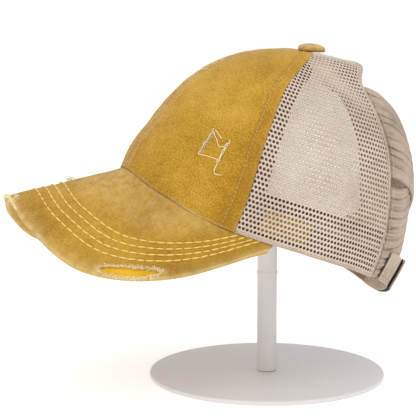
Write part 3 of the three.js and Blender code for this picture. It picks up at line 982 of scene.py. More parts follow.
def run_at(share):
    return np.interp(share, fine_shares, edge_run)


def torn_by(hole, run, margin, seed):
    """How far a hole's torn outline strays from its oval at a place."""
    spot = np.stack([run, margin, 0 * run], -1)
    ragged = waves(spot, 3.5 * MM, seed) * 0.6 + waves(spot, 1.4 * MM, seed + 1) * 0.4
    return ragged * hole["ragged"] * 0.5


def hole_depth(hole, run, margin, seed):
    """How far inside a ragged oval a point is: over 0 inside, in shares of the oval."""
    x = (run - run_at(hole["along"])) / (hole["length"] / 2)
    half = hole["width"] / 2 * np.sqrt(np.clip(1 - x**2, 0, 1)) + torn_by(hole, run, margin, seed)
    off = np.abs(margin - hole["from_edge"])
    return np.where(np.abs(x) < 1, (half - off) / (hole["width"] / 2), -1)


def brim_shares(spacing, fine):
    """Shares across the peak: even along its edge, finer over each hole."""
    stops = np.arange(0, edge_run[-1], spacing)
    for hole in HOLES.values():
        middle, reach = run_at(hole["along"]), hole["length"] / 2 + 3 * MM
        inside = np.abs(stops - middle) < reach
        stops = np.concatenate([stops[~inside], np.arange(middle - reach, middle + reach, fine)])
    stops = np.concatenate([np.sort(stops), [edge_run[-1]]])
    return np.interp(stops, edge_run, fine_shares)


shares = brim_shares(1.7 * MM, 0.5 * MM)
print("the covers are cut at", len(shares), "places along the edge")

# %% [markdown]
# A cover is a wall like the others, but its lip has to roll round the peak's edge. So its grid
# runs in from the edge by the distance margin, and the last columns turn down a quarter circle
# to the middle of the peak's thickness. Rows of stitches press furrows into it and the cloth
# between them puckers. Wear is strongest along the edge, at the middle and round each hole.

# %% Covers of the peak
def brim_cover(name, shares, margins, upper, keep=None):
    """Cover of the peak with its lip rolled round the edge to the middle of the thickness."""
    rolls = np.radians([0, 14, 28, 42, 56, 70, 86])
    share, flat = grid(shares, margins)
    margin = LIP + (brim_width(share) - LIP) * flat
    across = np.concatenate([margin, LIP * (1 - np.sin(rolls[1:])) + 0 * shares[:, None]], 1)
    deep = np.concatenate([0 * margin, LIP * (1 - np.cos(rolls[1:])) + 0 * shares[:, None]], 1)
    bend = LIP - COVER
    across_in = np.concatenate([margin, LIP - bend * np.sin(rolls[1:]) + 0 * shares[:, None]], 1)
    deep_in = np.concatenate([
        COVER + 0 * margin, LIP - bend * np.cos(rolls[1:]) + 0 * shares[:, None],
    ], 1)
    share = shares[:, None] + 0 * across
    skin, normal = brim(share, across)
    skin_in, normal_in = brim(share, across_in)
    run = run_at(share)
    height = -0.06 + 0 * across
    for row in STITCH_MARGINS:
        height = height - 0.3 * gaussian(across - row, 0.75 * MM)
    band = smoothstep(across, STITCH_MARGINS[0] - 3 * MM, STITCH_MARGINS[0])
    band = band * (1 - smoothstep(across, STITCH_MARGINS[-1], STITCH_MARGINS[-1] + 3 * MM))
    height = height + band * 0.1 * np.sin(run * 2 * np.pi / (5.5 * MM))
    height = height + 0.22 * waves(skin, 30 * MM, 17) + 0.08 * waves(skin, 11 * MM, 19)
    height = height * MM * smoothstep(across, 0.5 * MM, 4 * MM)
    height = height + 0.6 * MM * smoothstep(across - brim_width(share), -2.2 * MM, -0.6 * MM) * upper
    if not upper:
        height, deep, deep_in = -height, BRIM_THICKNESS - deep, BRIM_THICKNESS - deep_in
    outer = skin + normal * (height - deep)[..., None]
    inner = skin_in + normal_in * (height - deep_in)[..., None]
    uneven = 0.8 + 0.14 * waves(skin, 8 * MM, 23)
    wear = uneven * (
        0.75 * gaussian(across - 0.8 * MM, 1.5 * MM) + 0.35 * gaussian(across - 3.0 * MM, 5 * MM)
        + 0.34 * smoothstep(across, 34 * MM, 56 * MM) + 0.05
        + 0.35 * gaussian(share, 0.16) * smoothstep(across, 8 * MM, 40 * MM)
    )
    for hole in HOLES.values():
        off = np.hypot((run - run_at(hole["along"])) / (hole["length"] / 2 + 3 * MM),
                       (across - hole["from_edge"]) / (hole["width"] / 2 + 2.5 * MM))
        wear = wear + 0.8 * (1 - smoothstep(off, 0.75, 1.15)) * upper
    deep_dye = 0.08 * gaussian(across - STITCH_MARGINS[0] + 8 * MM, 6 * MM)
    s, _, t, _ = grid_distances(skin)
    return wall_mesh(name, outer, inner, keep, {
        "cloth": np.stack([s, t, 0 * s], -1), "wear": np.clip(wear, 0, 1), "deep": deep_dye,
    }), skin, run, across


flat_margins = np.concatenate([np.linspace(1, 0.16, 40), np.linspace(0.15, 0, 22)])
_, skin, run, across = brim_cover("probe", shares, flat_margins, True)
torn = np.maximum.reduce([
    hole_depth(hole, run, across, 40 + 10 * k) for k, hole in enumerate(HOLES.values())
])
middle_torn = (torn[1:, 1:] + torn[:-1, 1:] + torn[1:, :-1] + torn[:-1, :-1]) / 4
bpy.data.meshes.remove(bpy.data.meshes["probe"])
top_mesh, skin, run, across = brim_cover("peak_cloth_top", shares, flat_margins, True, middle_torn < 0)
peak_top = dress(top_mesh, washed_twill, ["brim_cover_top"])
under_mesh, *_ = brim_cover("peak_cloth_under", shares[::2], flat_margins[::2], False)
peak_under = dress(under_mesh, washed_twill, ["brim_cover_under"])
print("covers have", triangles(top_mesh), "and", triangles(under_mesh), "triangles")

# %% [markdown]
# Between the covers lies the board, which gives the peak its curve. Bright yellow cloth covers
# it, and that is what shows in the worn places.

# %% Board of the peak
share, margin_share = grid(np.linspace(-0.97, 0.97, 110), np.linspace(0.02, 1, 26))
board_margin = (LIP + SEAM_GAP) * margin_share + brim_width(share) * (1 - margin_share) * 0.98
points, normal = brim(share, board_margin)
board_mesh = cloth_wall("board_cloth", points - normal * (COVER + SEAM_GAP), normal, BOARD)
dress(board_mesh, board_cloth, ["brim_board"])
print("the board has", triangles(board_mesh), "triangles")


# %% [markdown]
# Four rows of thick yellow thread run round the peak, 5.7 mm apart, parallel to its edge. They
# end where the crown covers them.

# %% Stitches of the peak
def brim_path(margin, lift):
    """Line parallel to the peak's edge, as far as the crown leaves it free."""
    share = np.linspace(-BRIM_END_SHARE, BRIM_END_SHARE, 400)
    share = share[brim_width(share) > margin + 1.5 * MM]
    points, normal = brim(share, margin)
    return points + normal * lift


peak_rows = [brim_path(margin, 0.1 * MM) for margin in STITCH_MARGINS]
sewn("peak_stitches", peak_rows, 5.3 * MM, 5.5 * MM, 0.9 * MM, bright_thread,
     seed=51, sides=8)

# %% [markdown]
# Net is a knitted polyester with round holes in staggered rows. It has to be real openings,
# because the dark tapes and the pale dome behind it are half of how it looks. The tree works on
# the cloth laid flat: the panel's skin is flattened by a value that says where each point lies
# on the flat cloth, hexagonal tiles with a round hole are put on a staggered grid over it, and
# each tile's points are then carried back to the nearest place of the skin. What hangs over the
# panel's edge lands on the edge itself, so the net ends in a clean line that cuts its last
# holes. A tile is thick in the middle of its yarns and thin at the hole, so yarns look round.

# %% Net tree: the cloth laid flat
net_tree, given = geometry_tree("pierced_net", {
    "Pitch": LENGTH, "Row Pitch": LENGTH, "Hole": LENGTH, "Half Thickness": LENGTH,
    "Columns": WHOLE, "Rows": WHOLE, "Sink": LENGTH,
})
position = node(net_tree, "GeometryNodeInputPosition")
shaped = node(net_tree, "GeometryNodeStoreNamedAttribute", {
    "Geometry": given["Mesh"], "Name": "shape", "Value": position,
}, **VECTORS, domain="POINT")
flat_cloth = node(net_tree, "GeometryNodeSetPosition", {
    "Geometry": shaped,
    "Position": node(net_tree, STORED, {"Name": "flat"}, **VECTORS),
})
print("the net tree has", len(given) - 1, "inputs")

# %% [markdown]
# The tile is a 12-cornered plate whose even corners are the middles of a hexagon's sides. Its
# inside is drawn in to a circle and taken out. Points near its border are raised and points
# round the hole stay in the middle, and the lower half is the upper one turned over.

# %% Net tree: one tile
tile_height = node(net_tree, MATH, (given["Row Pitch"], given["Pitch"]), operation="DIVIDE")
stretch = node(net_tree, MATH, (tile_height, 2 / np.sqrt(3)), **TIMES)
plate = node(net_tree, "GeometryNodeMeshCircle", {"Vertices": 12, "Radius": 1.0}, fill_type="NGON")
number = node(net_tree, "GeometryNodeInputIndex")
odd = node(net_tree, MATH, (number, 2.0), operation="MODULO")
corner_share = node(net_tree, MATH, (odd, 1 / np.sqrt(3) - 0.5, 0.5), operation="MULTIPLY_ADD")
corner_reach = node(net_tree, MATH, (corner_share, given["Pitch"]), **TIMES)
outline = node(net_tree, VECTOR_MATH, {0: position, "Scale": corner_reach}, **SCALED)
upright = node(net_tree, "ShaderNodeCombineXYZ", {"X": 1.0, "Y": stretch, "Z": 1.0})
hexagon = node(net_tree, "GeometryNodeSetPosition", {
    "Geometry": plate,
    "Position": node(net_tree, VECTOR_MATH, (outline, upright), **TIMES),
})
pulled = node(net_tree, "GeometryNodeExtrudeMesh", {
    "Mesh": hexagon, "Offset Scale": 0.0, "Individual": True,
}, mode="FACES")
unstretched = node(net_tree, VECTOR_MATH, (position, upright), operation="DIVIDE")
round_way = node(net_tree, VECTOR_MATH, (unstretched,), operation="NORMALIZE")
hole_edge = node(net_tree, VECTOR_MATH, {0: round_way, "Scale": given["Hole"]}, **SCALED)
ringed = node(net_tree, "GeometryNodeSetPosition", {
    "Geometry": pulled.outputs["Mesh"], "Selection": pulled.outputs["Top"], "Position": hole_edge,
})
pierced = node(net_tree, "GeometryNodeDeleteGeometry", {
    "Geometry": ringed, "Selection": pulled.outputs["Top"],
}, domain="FACE", mode="ONLY_FACE")
reach = node(net_tree, VECTOR_MATH, (unstretched,), operation="LENGTH").outputs["Value"]
half_hole = node(net_tree, MATH, (given["Hole"], 0.5), **TIMES)
border = node(net_tree, MATH, (given["Pitch"], 0.25, half_hole), operation="MULTIPLY_ADD")
on_border = node(net_tree, MATH, (reach, border), operation="GREATER_THAN")
lift = node(net_tree, MATH, (on_border, given["Half Thickness"]), **TIMES)
raised = node(net_tree, "GeometryNodeSetPosition", {
    "Geometry": pierced, "Offset": node(net_tree, "ShaderNodeCombineXYZ", {"Z": lift}),
})
lower_half = node(net_tree, "GeometryNodeFlipFaces", {
    "Mesh": node(net_tree, "GeometryNodeTransform", {"Geometry": raised, "Scale": (1, 1, -1)}),
})
both = node(net_tree, "GeometryNodeJoinGeometry")
for half in (raised, lower_half):
    net_tree.links.new(half.outputs[0], both.inputs[0])
tile = node(net_tree, "GeometryNodeMergeByDistance", {
    "Geometry": both, "Distance": 0.01 * MM,
})
print("the tile takes", len(net_tree.nodes), "nodes")

# %% [markdown]
# The tiles stand on a grid whose every other row is shifted by half a tile. A row's number is
# read from its height, with 1000 rows and a quarter added so that it is over zero and rounds
# down safely. Points of the grid that lie off the cloth are left out.

# %% Net tree: the staggered grid
gaps = [
    node(net_tree, MATH, (given[count], 1.0), operation="SUBTRACT")
    for count in ("Columns", "Rows")
]
even_grid = node(net_tree, "GeometryNodeMeshGrid", {
    "Size X": node(net_tree, MATH, (given["Pitch"], gaps[0]), **TIMES),
    "Size Y": node(net_tree, MATH, (given["Row Pitch"], gaps[1]), **TIMES),
    "Vertices X": given["Columns"], "Vertices Y": given["Rows"],
}).outputs["Mesh"]
up_cloth = node(net_tree, "ShaderNodeSeparateXYZ", (position,)).outputs["Y"]
rows_up = node(net_tree, MATH, (up_cloth, given["Row Pitch"]), operation="DIVIDE")
rows_up = node(net_tree, MATH, (1000.25, rows_up), operation="ADD")
row_number = node(net_tree, MATH, (rows_up,), operation="FLOOR")
every_other = node(net_tree, MATH, (row_number, 2.0), operation="MODULO")
half_tile = node(net_tree, MATH, (given["Pitch"], 0.5), **TIMES)
shift = node(net_tree, MATH, (every_other, half_tile), **TIMES)
staggered = node(net_tree, "GeometryNodeSetPosition", {
    "Geometry": even_grid, "Offset": node(net_tree, "ShaderNodeCombineXYZ", {"X": shift}),
})
off_cloth = node(net_tree, "GeometryNodeProximity", {
    "Target": flat_cloth,
}, target_element="FACES").outputs["Distance"]
farthest = node(net_tree, MATH, (given["Pitch"], 0.9), **TIMES)
centres = node(net_tree, "GeometryNodeDeleteGeometry", {
    "Geometry": staggered,
    "Selection": node(net_tree, MATH, (off_cloth, farthest), operation="GREATER_THAN"),
}, domain="POINT")
tiles = node(net_tree, "GeometryNodeInstanceOnPoints", {"Points": centres, "Instance": tile})
joined = node(net_tree, "GeometryNodeMergeByDistance", {
    "Geometry": node(net_tree, "GeometryNodeRealizeInstances", (tiles,)),
    "Distance": 0.02 * MM,
})
print("the tree has", len(net_tree.nodes), "nodes with its grid")

# %% [markdown]
# Each point is carried from the flat cloth back to the skin. A point that hangs over the edge
# has no height of its own, and a face of such points alone is taken out, which leaves the net
# closed all round. Deleting works on faces, so the points' answer is asked for on points.

# %% Net tree: back to the skin
place = node(net_tree, VECTOR_MATH, (position, (1.0, 1.0, 0.0)), **TIMES)
away = node(net_tree, "GeometryNodeProximity", {
    "Target": flat_cloth, "Source Position": place,
}, target_element="FACES").outputs["Distance"]
inside = node(net_tree, MATH, (away, 0.002 * MM), operation="LESS_THAN")
over_cloth = node(net_tree, "ShaderNodeSeparateXYZ", (position,)).outputs["Z"]
height = node(net_tree, MATH, (over_cloth, inside), **TIMES)
own_height = node(net_tree, MATH, (height,), operation="ABSOLUTE")
thin_point = node(net_tree, MATH, (own_height, 0.001 * MM), operation="LESS_THAN")
trimmed = node(net_tree, "GeometryNodeDeleteGeometry", {
    "Geometry": joined,
    "Selection": node(net_tree, "GeometryNodeFieldOnDomain", (thin_point,),
                      data_type="BOOLEAN", domain="POINT"),
}, domain="FACE", mode="ALL")
skin_place, skin_outward = (
    node(net_tree, "GeometryNodeSampleNearestSurface", {
        "Mesh": flat_cloth, "Sample Position": place,
        "Value": node(net_tree, STORED, {"Name": fact}, **VECTORS),
    }, **VECTORS).outputs["Value"]
    for fact in ("shape", "outward")
)
kept_flat = node(net_tree, "GeometryNodeStoreNamedAttribute", {
    "Geometry": trimmed, "Name": "cloth", "Value": place,
}, **VECTORS, domain="POINT")
height = node(net_tree, MATH, (height, given["Sink"]), operation="SUBTRACT")
lifted = node(net_tree, VECTOR_MATH, {0: skin_outward, "Scale": height}, **SCALED)
wrapped = node(net_tree, "GeometryNodeSetPosition", {
    "Geometry": kept_flat,
    "Position": node(net_tree, VECTOR_MATH, (skin_place, lifted), operation="ADD"),
})
close_tree(net_tree, node(net_tree, "GeometryNodeMergeByDistance", {
    "Geometry": wrapped, "Distance": 0.001 * MM,
}), given)
print("the net tree has", len(net_tree.nodes), "nodes")

# %% [markdown]
# Each side of the crown has one net panel, from the cotton seam to the band at the back, and
# over the top along the arch above the ponytail. Holes are 1.7 mm wide, 2.4 mm apart in rows
# that run parallel to the rim, with 2.9 mm from row to row.

# %% Net panels
NET_PITCH = 2.4 * MM
NET_ROW_PITCH = 2.9 * MM
NET_HOLE_RADIUS = 0.83 * MM
NET_HALF = 0.36 * MM
NET_MIDDLE_ANGLE = 95.0


def net_skin(word, side):
    """The panel's skin with the place of each point on the flat cloth."""
    shares = np.linspace(0, 1, 70)
    rows = even_values(lambda r: crown_skin(NET_MIDDLE_ANGLE, r), 0, TOP_ROW, 1.6 * MM, 0.4 * MM)
    u, row = grid(shares, rows)
    start, end = section("seam", row) - 2 * half_gap(row), mesh_end(row)
    angle = start + (end - start) * u
    points, outward = crown(side * angle, row)
    points = points + outward * (waves(points, 38 * MM, 61) * 0.35 * MM)[..., None]
    s, _, t, _ = grid_distances(points)
    middle = np.array([np.interp(NET_MIDDLE_ANGLE, angle[:, k], s[:, k]) for k in range(len(rows))])
    reference, _ = crown(NET_MIDDLE_ANGLE, rows)
    up = lengths_along(reference, 0)
    flat = np.stack([s - middle, up - up[-1] / 2 + 0 * s, 0 * s], -1)
    grid_of = np.arange(u.size).reshape(u.shape)
    quads = np.stack([
        grid_of[:-1, :-1], grid_of[1:, :-1], grid_of[1:, 1:], grid_of[:-1, 1:],
    ], -1).reshape(-1, 4)
    mesh = bpy.data.meshes.new(f"net_skin_{word}")
    mesh.from_pydata(points.reshape(-1, 3).tolist(), [], quads[:, ::side].tolist())
    for fact, values in {"flat": flat, "outward": outward}.items():
        layer = mesh.attributes.new(fact, "FLOAT_VECTOR", "POINT")
        layer.data.foreach_set("vector", values.astype(np.float32).ravel())
    return mesh, points, flat


for word, side in SIDES:
    skin_mesh, points, flat = net_skin(word, side)
    reach = 2 * np.abs(flat).max((0, 1))
    made = grown(
        f"net_{word}", net_tree, skin_mesh, pitch=NET_PITCH, row_pitch=NET_ROW_PITCH,
        hole=NET_HOLE_RADIUS, half_thickness=NET_HALF, sink=NET_HALF + 0.1 * MM,
        columns=int(reach[0] / NET_PITCH) + 3, rows=int(reach[1] / NET_ROW_PITCH) + 3,
        material=net_yarn,
    )
    net = dress(made, None, [f"mesh_panel_{word}"])

# %% [markdown]
# The net's raw edge would fray and curl, so it is folded over and sewn down: a narrow plain hem
# runs along the rim and up the back edge, and widens over the arch to the middle of the crown.
# Over the arch a wide allowance is turned in behind the net, where it shows through as a plain
# beige ground. The hems are ribbons that start on the edge line and run inwards beside it. The
# allowance is too wide for that: it is a piece of the crown's own skin, 1 mm further in. One row
# of net-coloured thread holds each hem.

# %% Net hems
RIM_HEM, BACK_HEM, ARCH_HEM = 2.2 * MM, 2.6 * MM, 4.5 * MM
HEM = 1.25 * MM
HEM_COLUMNS = 11
HEM_STEP = 1.2 * MM
ALLOWANCE_WIDTH, ALLOWANCE, ALLOWANCE_DEPTH = 35 * MM, 0.6 * MM, 1.0 * MM
ALLOWANCE_ROW, ALLOWANCE_FULL_ROW = 4.6, 5.8


def ribbon(line, outward, width, columns, toward):
    """Grid of points from a line on a skin to a line beside it, at one width or one for each
    point. toward is a point that the ribbon turns to."""
    width = np.broadcast_to(width, len(line))[:, None, None]
    forward = np.gradient(line, axis=0)
    beside = np.cross(outward, forward)
    beside /= np.linalg.norm(beside, axis=-1, keepdims=True)
    beside *= np.sign(((toward - line) * beside).sum(-1, keepdims=True).mean())
    share = np.linspace(0, 1, columns)[None, :, None]
    points = line[:, None] + beside[:, None] * share * width
    return points, np.broadcast_to(outward[:, None], points.shape)


def net_line(side, angle, row, spacing):
    """Line on the crown cut to even lengths, and its outward directions."""
    fine, outward = crown(side * angle, row)
    run = lengths_along(fine, 0)
    even = np.linspace(0, run[-1], max(8, int(run[-1] / spacing)))
    line = np.stack([np.interp(even, run, fine[:, k]) for k in range(3)], -1)
    return line, np.stack([np.interp(even, run, outward[:, k]) for k in range(3)], -1)


rim_angles = np.linspace(section("seam", 0) + half_gap(0), mesh_end(0), 200)
back_rows = np.concatenate([
    np.linspace(0, ARCH_FOOT, 120),
    ARCH_TOP - (ARCH_TOP - ARCH_FOOT) * np.linspace(1, 0, 240)[1:] ** 3,
    np.linspace(ARCH_TOP, TOP_ROW, 20)[1:],
])


def net_hem(name, line, out, width, toward):
    """Folded strip along an edge line, with a round back and a slightly uneven face."""
    points, outward = ribbon(line, out, width, HEM_COLUMNS, toward)
    swell = 0.3 * MM - 0.16 * MM * np.abs(np.linspace(-1, 1, HEM_COLUMNS))[None] ** 2
    swell = swell + 0.06 * MM * waves(points, 5 * MM, 71)
    piece = dress(cloth_wall(name, points, outward, HEM, swell), hem_cloth)
    cut_from(piece, points)


def net_allowance(word, side):
    """Cloth turned in behind the net beside the arch."""
    u, row = grid(np.linspace(0, 1, 30), np.linspace(ALLOWANCE_ROW, TOP_ROW, 60))
    width = BACK_HEM + (ALLOWANCE_WIDTH - BACK_HEM) * smoothstep(row, ALLOWANCE_ROW, ALLOWANCE_FULL_ROW)
    start, end = section("mesh_end", row) - turn_of(width, row), mesh_end(row) - turn_of(1 * MM, row)
    points, outward = crown(side * (start + (end - start) * u), row)
    mesh = cloth_wall(f"net_allowance_{word}", points, outward, ALLOWANCE, -ALLOWANCE_DEPTH)
    piece = dress(mesh, hem_cloth)
    cut_from(piece, points)


for word, side in SIDES:
    panel_middle, _ = crown(side * NET_MIDDLE_ANGLE, 3.5)
    rim_line, rim_out = net_line(side, rim_angles, 0 * rim_angles, HEM_STEP)
    back_line, back_out = net_line(side, mesh_end(back_rows), back_rows, HEM_STEP)
    back_width = BACK_HEM + (ARCH_HEM - BACK_HEM) * smoothstep(
        np.linspace(0, 1, len(back_line)), 0.55, 0.8)
    net_hem(f"net_hem_rim_{word}", rim_line, rim_out, RIM_HEM, panel_middle)
    net_hem(f"net_hem_back_{word}", back_line, back_out, back_width, panel_middle)
    net_allowance(word, side)
    seams = []
    for line, out, inset in ((rim_line, rim_out, 1.6 * MM), (back_line, back_out, 2.3 * MM)):
        points, outward = ribbon(line, out, inset, 2, panel_middle)
        seams.append(points[:, 1] + outward[:, 1] * 0.22 * MM)
    sewn(f"net_hem_stitches_{word}", seams, 2.4 * MM, 2.0 * MM, 0.34 * MM, net_thread,
         seed=61 + side)

# %% [markdown]
# The bands at the back are knitted cloth gathered over elastic. Each is sewn high to one net
# panel and low to the other, so the two cross and leave one opening above them for a high
# ponytail and one below for a low one. The left band passes outside. A plain wall gives each
# its course; the gathers are added to it by a tree, because there are dozens of them, all
# alike and no two the same.

# %% Course of the bands
BAND = 1.2 * MM
BAND_GAP = 0.6 * MM
CROSSING_STEP = BAND / 2 + LAYER_GAP
BAND_HEM = 2.6 * MM
BAND_GATHER = 1.3
# Rows of a band's two edges at its start and its end, and the lower edge's rise between them.
BAND_LOW, BAND_HIGH, BAND_RISE = (3.15, 0.03), (6.05, 2.85), 0.42


def crossing(u):
    """0 where a band is sewn down and 1 where it lies free, over or under the other one."""
    return smoothstep(u, 0.01, 0.12) * smoothstep(1 - u, 0.01, 0.12)


def band_row(u, w):
    """Row that a band runs through at a share along and a share up."""
    way = smoothstep(u, 0, 1)
    low = BAND_LOW[0] + (BAND_LOW[1] - BAND_LOW[0]) * way + BAND_RISE * np.sin(np.pi * u) ** 2
    high = BAND_HIGH[0] + (BAND_HIGH[1] - BAND_HIGH[0]) * way
    return low + (high - low) * w


def band_skin(side, u, w):
    """Points of a band's middle course and their outward directions."""
    row = band_row(u, w)
    edge = mesh_end(row) + turn_of(BAND_GAP, row)
    points, outward = crown(side * (edge + (360 - 2 * edge) * u), row)
    return points + outward * (side * CROSSING_STEP * crossing(u))[..., None], outward


band_across = np.linalg.norm(np.diff(band_skin(1, 0.5, np.array([0.0, 1.0]))[0], axis=0))
print("a band is", round(float(band_across) / MM), "mm high where they cross")

# %% [markdown]
# Gathers are ridges with round backs and sharp valleys that run from seam to seam, wander a
# little, split and join. So the tree lifts each point by the size of a sine wave across the
# band, bent by a slow noise, and adds a finer wave of the same kind. Near the seams the cloth
# is bunched, and in the middle the elastic pulls it flatter.

# %% Gathers
gathers, given = geometry_tree("gathers", {
    "Pleats": WHOLE, "Depth": LENGTH, "Fine Depth": LENGTH, "Wander": LENGTH, "Seed": LENGTH,
})
band_place = node(gathers, STORED, {"Name": "on_band"}, **VECTORS)
on_band = node(gathers, "ShaderNodeSeparateXYZ", (band_place,)).outputs
drift_place = node(gathers, "ShaderNodeCombineXYZ", {
    "X": node(gathers, MATH, (on_band["X"], 3.0), **TIMES),
    "Y": node(gathers, MATH, (on_band["Y"], 4.0), **TIMES),
    "Z": given["Seed"],
})
slow_noise = node(gathers, "ShaderNodeTexNoise", {
    "Vector": drift_place, "Scale": 1.0, "Detail": 1.0,
}).outputs["Fac"]
drift = node(gathers, MATH, (slow_noise, 0.5), operation="SUBTRACT")
drift = node(gathers, MATH, (drift, given["Wander"]), **TIMES)
strength_noise = node(gathers, "ShaderNodeTexNoise", {
    "Vector": node(gathers, VECTOR_MATH, (drift_place, (1.7, 2.3, 5.0)), **TIMES),
    "Scale": 1.0, "Detail": 1.0,
}).outputs["Fac"]
strength = node(gathers, MATH, (strength_noise, 1.4, 0.25), operation="MULTIPLY_ADD")
rises = []
for count_share, depth, drift_share in ((1.0, "Depth", 1.0), (2.35, "Fine Depth", 2.1)):
    count = node(gathers, MATH, (given["Pleats"], count_share), **TIMES)
    turns = node(gathers, MATH, (on_band["Y"], count), **TIMES)
    turns = node(gathers, MATH, (drift, drift_share, turns), operation="MULTIPLY_ADD")
    turns = node(gathers, MATH, (turns, np.pi), **TIMES)
    wave = node(gathers, MATH, (turns,), operation="SINE")
    ridge = node(gathers, MATH, (wave,), operation="ABSOLUTE")
    ridge = node(gathers, MATH, (ridge, 2.0, -1.27), operation="MULTIPLY_ADD")
    rises.append(node(gathers, MATH, (ridge, given[depth]), **TIMES))
both_rises = node(gathers, MATH, rises, operation="ADD")
flatter = node(gathers, MATH, (on_band["Z"], -0.6, 1.0), operation="MULTIPLY_ADD")
strength = node(gathers, MATH, (flatter, strength), **TIMES)
rise = node(gathers, MATH, (both_rises, strength), **TIMES)
sunk = node(gathers, MATH, (rise, -1 / (2.2 * MM)), **TIMES)
valley = node(gathers, MATH, (0.0, sunk), operation="MAXIMUM")
seam_deep = node(gathers, STORED, {"Name": "deep"}, data_type="FLOAT")
dyed = node(gathers, "GeometryNodeStoreNamedAttribute", {
    "Geometry": given["Mesh"], "Name": "deep",
    "Value": node(gathers, MATH, (seam_deep, valley), operation="ADD"),
}, data_type="FLOAT", domain="POINT")
out_of_band = node(gathers, STORED, {"Name": "outward"}, **VECTORS)
gathered = node(gathers, "GeometryNodeSetPosition", {
    "Geometry": dyed,
    "Offset": node(gathers, VECTOR_MATH, {0: out_of_band, "Scale": rise}, **SCALED),
})
close_tree(gathers, gathered, given)
print("the gathers' tree has", len(gathers.nodes), "nodes")

# %% [markdown]
# A band is run through the tree with nine gathers across it. Its cut is 1.3 times as wide as the
# band is high, since the gathers take up the rest. A row of stitches holds each end and each edge.

# %% Bands
for word, side in SIDES:
    u, w = grid(spread_steps(165 * MM, 1.5 * MM, 0.6 * MM), spread_steps(56 * MM, 0.42 * MM, 0.6 * MM))
    points, outward = band_skin(side, u, w)
    from_start, from_end, from_low, from_high = grid_distances(points)
    from_sides = np.minimum(from_low, from_high)
    hem = -0.28 * gaussian(from_sides - BAND_HEM, 0.5 * MM) * MM
    deep = 0.1 * gaussian(np.minimum(from_start, from_end), 2 * MM)
    wear = 0.5 * gaussian(from_sides - 0.6 * MM, 0.8 * MM)
    source = cloth_wall(f"band_course_{word}", points, outward, BAND, hem, facts={
        "outward": outward, "on_band": np.stack([u, w, crossing(u)], -1), "deep": deep, "wear": wear,
    })
    made = grown(
        f"band_cloth_{word}", gathers, source, pleats=9, depth=0.75 * MM,
        fine_depth=0.55 * MM, wander=1.1, seed=3.1 + 2 * side, material=gathered_jersey,
    )
    band = dress(made, None, [f"band_{word}"])
    cut_from(band, points, BAND_GATHER)
    ends, edges = [], []
    for end in (0.012, 0.988):
        line, out = band_skin(side, np.full(160, end), np.linspace(0.01, 0.99, 160))
        ends.append(line + out * 0.35 * MM)
    for edge in (0.045, 0.955):
        line, out = band_skin(side, np.linspace(0.02, 0.98, 200), np.full(200, edge))
        edges.append(line + out * 0.12 * MM)
    sewn(f"band_stitches_{word}", ends + edges, 2.2 * MM, 1.8 * MM, 0.34 * MM, net_thread,
         seed=71 + side)

# %% [markdown]
# Inside, a dark herringbone tape covers the seam between cotton and net, a sweatband runs round
# the rim, and a blank label is caught between it and the net. They are seen through the net, so
# their colours matter more than their weave. A pale stripe is woven into the sweatband.

# %% Tapes, sweatband and label
TAPE = 1.0 * MM
TAPE_DEPTH = COTTON + LAYER_GAP
SWEATBAND = 1.5 * MM
SWEATBAND_HEIGHT = 28 * MM
STRIPE_HEIGHT, STRIPE_WIDTH = 18.5 * MM, 1.7 * MM
LABEL_LENGTH, LABEL_FROM, LABEL_TO = 25 * MM, 5 * MM, 20 * MM


def inside_wall(name, angle, row, depth, thickness, facts=None):
    """Wall that follows the crown's skin at a depth under it."""
    points, outward = crown(angle, row)
    return points, cloth_wall(name, points, outward, thickness, -depth, facts=facts)


for word, side in SIDES:
    u, row = grid(spread_steps(12 * MM, 1.2 * MM, 0.5 * MM), np.linspace(0, ARCH_TOP, 130))
    angle = section("seam", row) + turn_of(4 * MM, row) * (3 * u - 1)
    across = np.abs(u - 0.5)
    points, mesh = inside_wall(f"tape_{word}", side * angle, row, TAPE_DEPTH, TAPE, facts={
        "wear": 0.25 * smoothstep(across, 0.42, 0.5), "deep": 0 * u,
    })
    tape = dress(mesh, brown_tape, [f"seam_tape_{word}"])
    cut_from(tape, points)

u, w = grid(np.linspace(0, 1, 210), spread_steps(SWEATBAND_HEIGHT, 1.2 * MM, 0.5 * MM))
stripe = gaussian(w * SWEATBAND_HEIGHT - STRIPE_HEIGHT, STRIPE_WIDTH) * 1.5
points, mesh = inside_wall(
    "sweatband_cloth", mesh_end(0) * (2 * u - 1), w * rows_of(SWEATBAND_HEIGHT),
    TAPE_DEPTH + TAPE + LAYER_GAP, SWEATBAND, facts={"wear": stripe, "deep": 0 * u},
)
sweatband = dress(mesh, brown_tape, ["sweatband"])
cut_from(sweatband, points)

u, w = grid(
    spread_steps(LABEL_LENGTH, 1.2 * MM, 0.5 * MM),
    spread_steps(LABEL_TO - LABEL_FROM, 1.2 * MM, 0.5 * MM),
)
label_angle = section("seam", 0) + turn_of(10 * MM, 0) + u * turn_of(LABEL_LENGTH, 0)
label_row = rows_of(LABEL_FROM) + w * (rows_of(LABEL_TO) - rows_of(LABEL_FROM))
points, mesh = inside_wall("label_cloth_blank", label_angle, label_row, TAPE_DEPTH, TAPE, facts={
    "wear": 0 * u, "deep": 0 * u,
})
label = dress(mesh, label_cloth, ["side_label"])
cut_from(label, points)

# %% [markdown]
# The button and the parts of the stand are round, so each is a profile turned about an axis,
# with its corners rounded off.

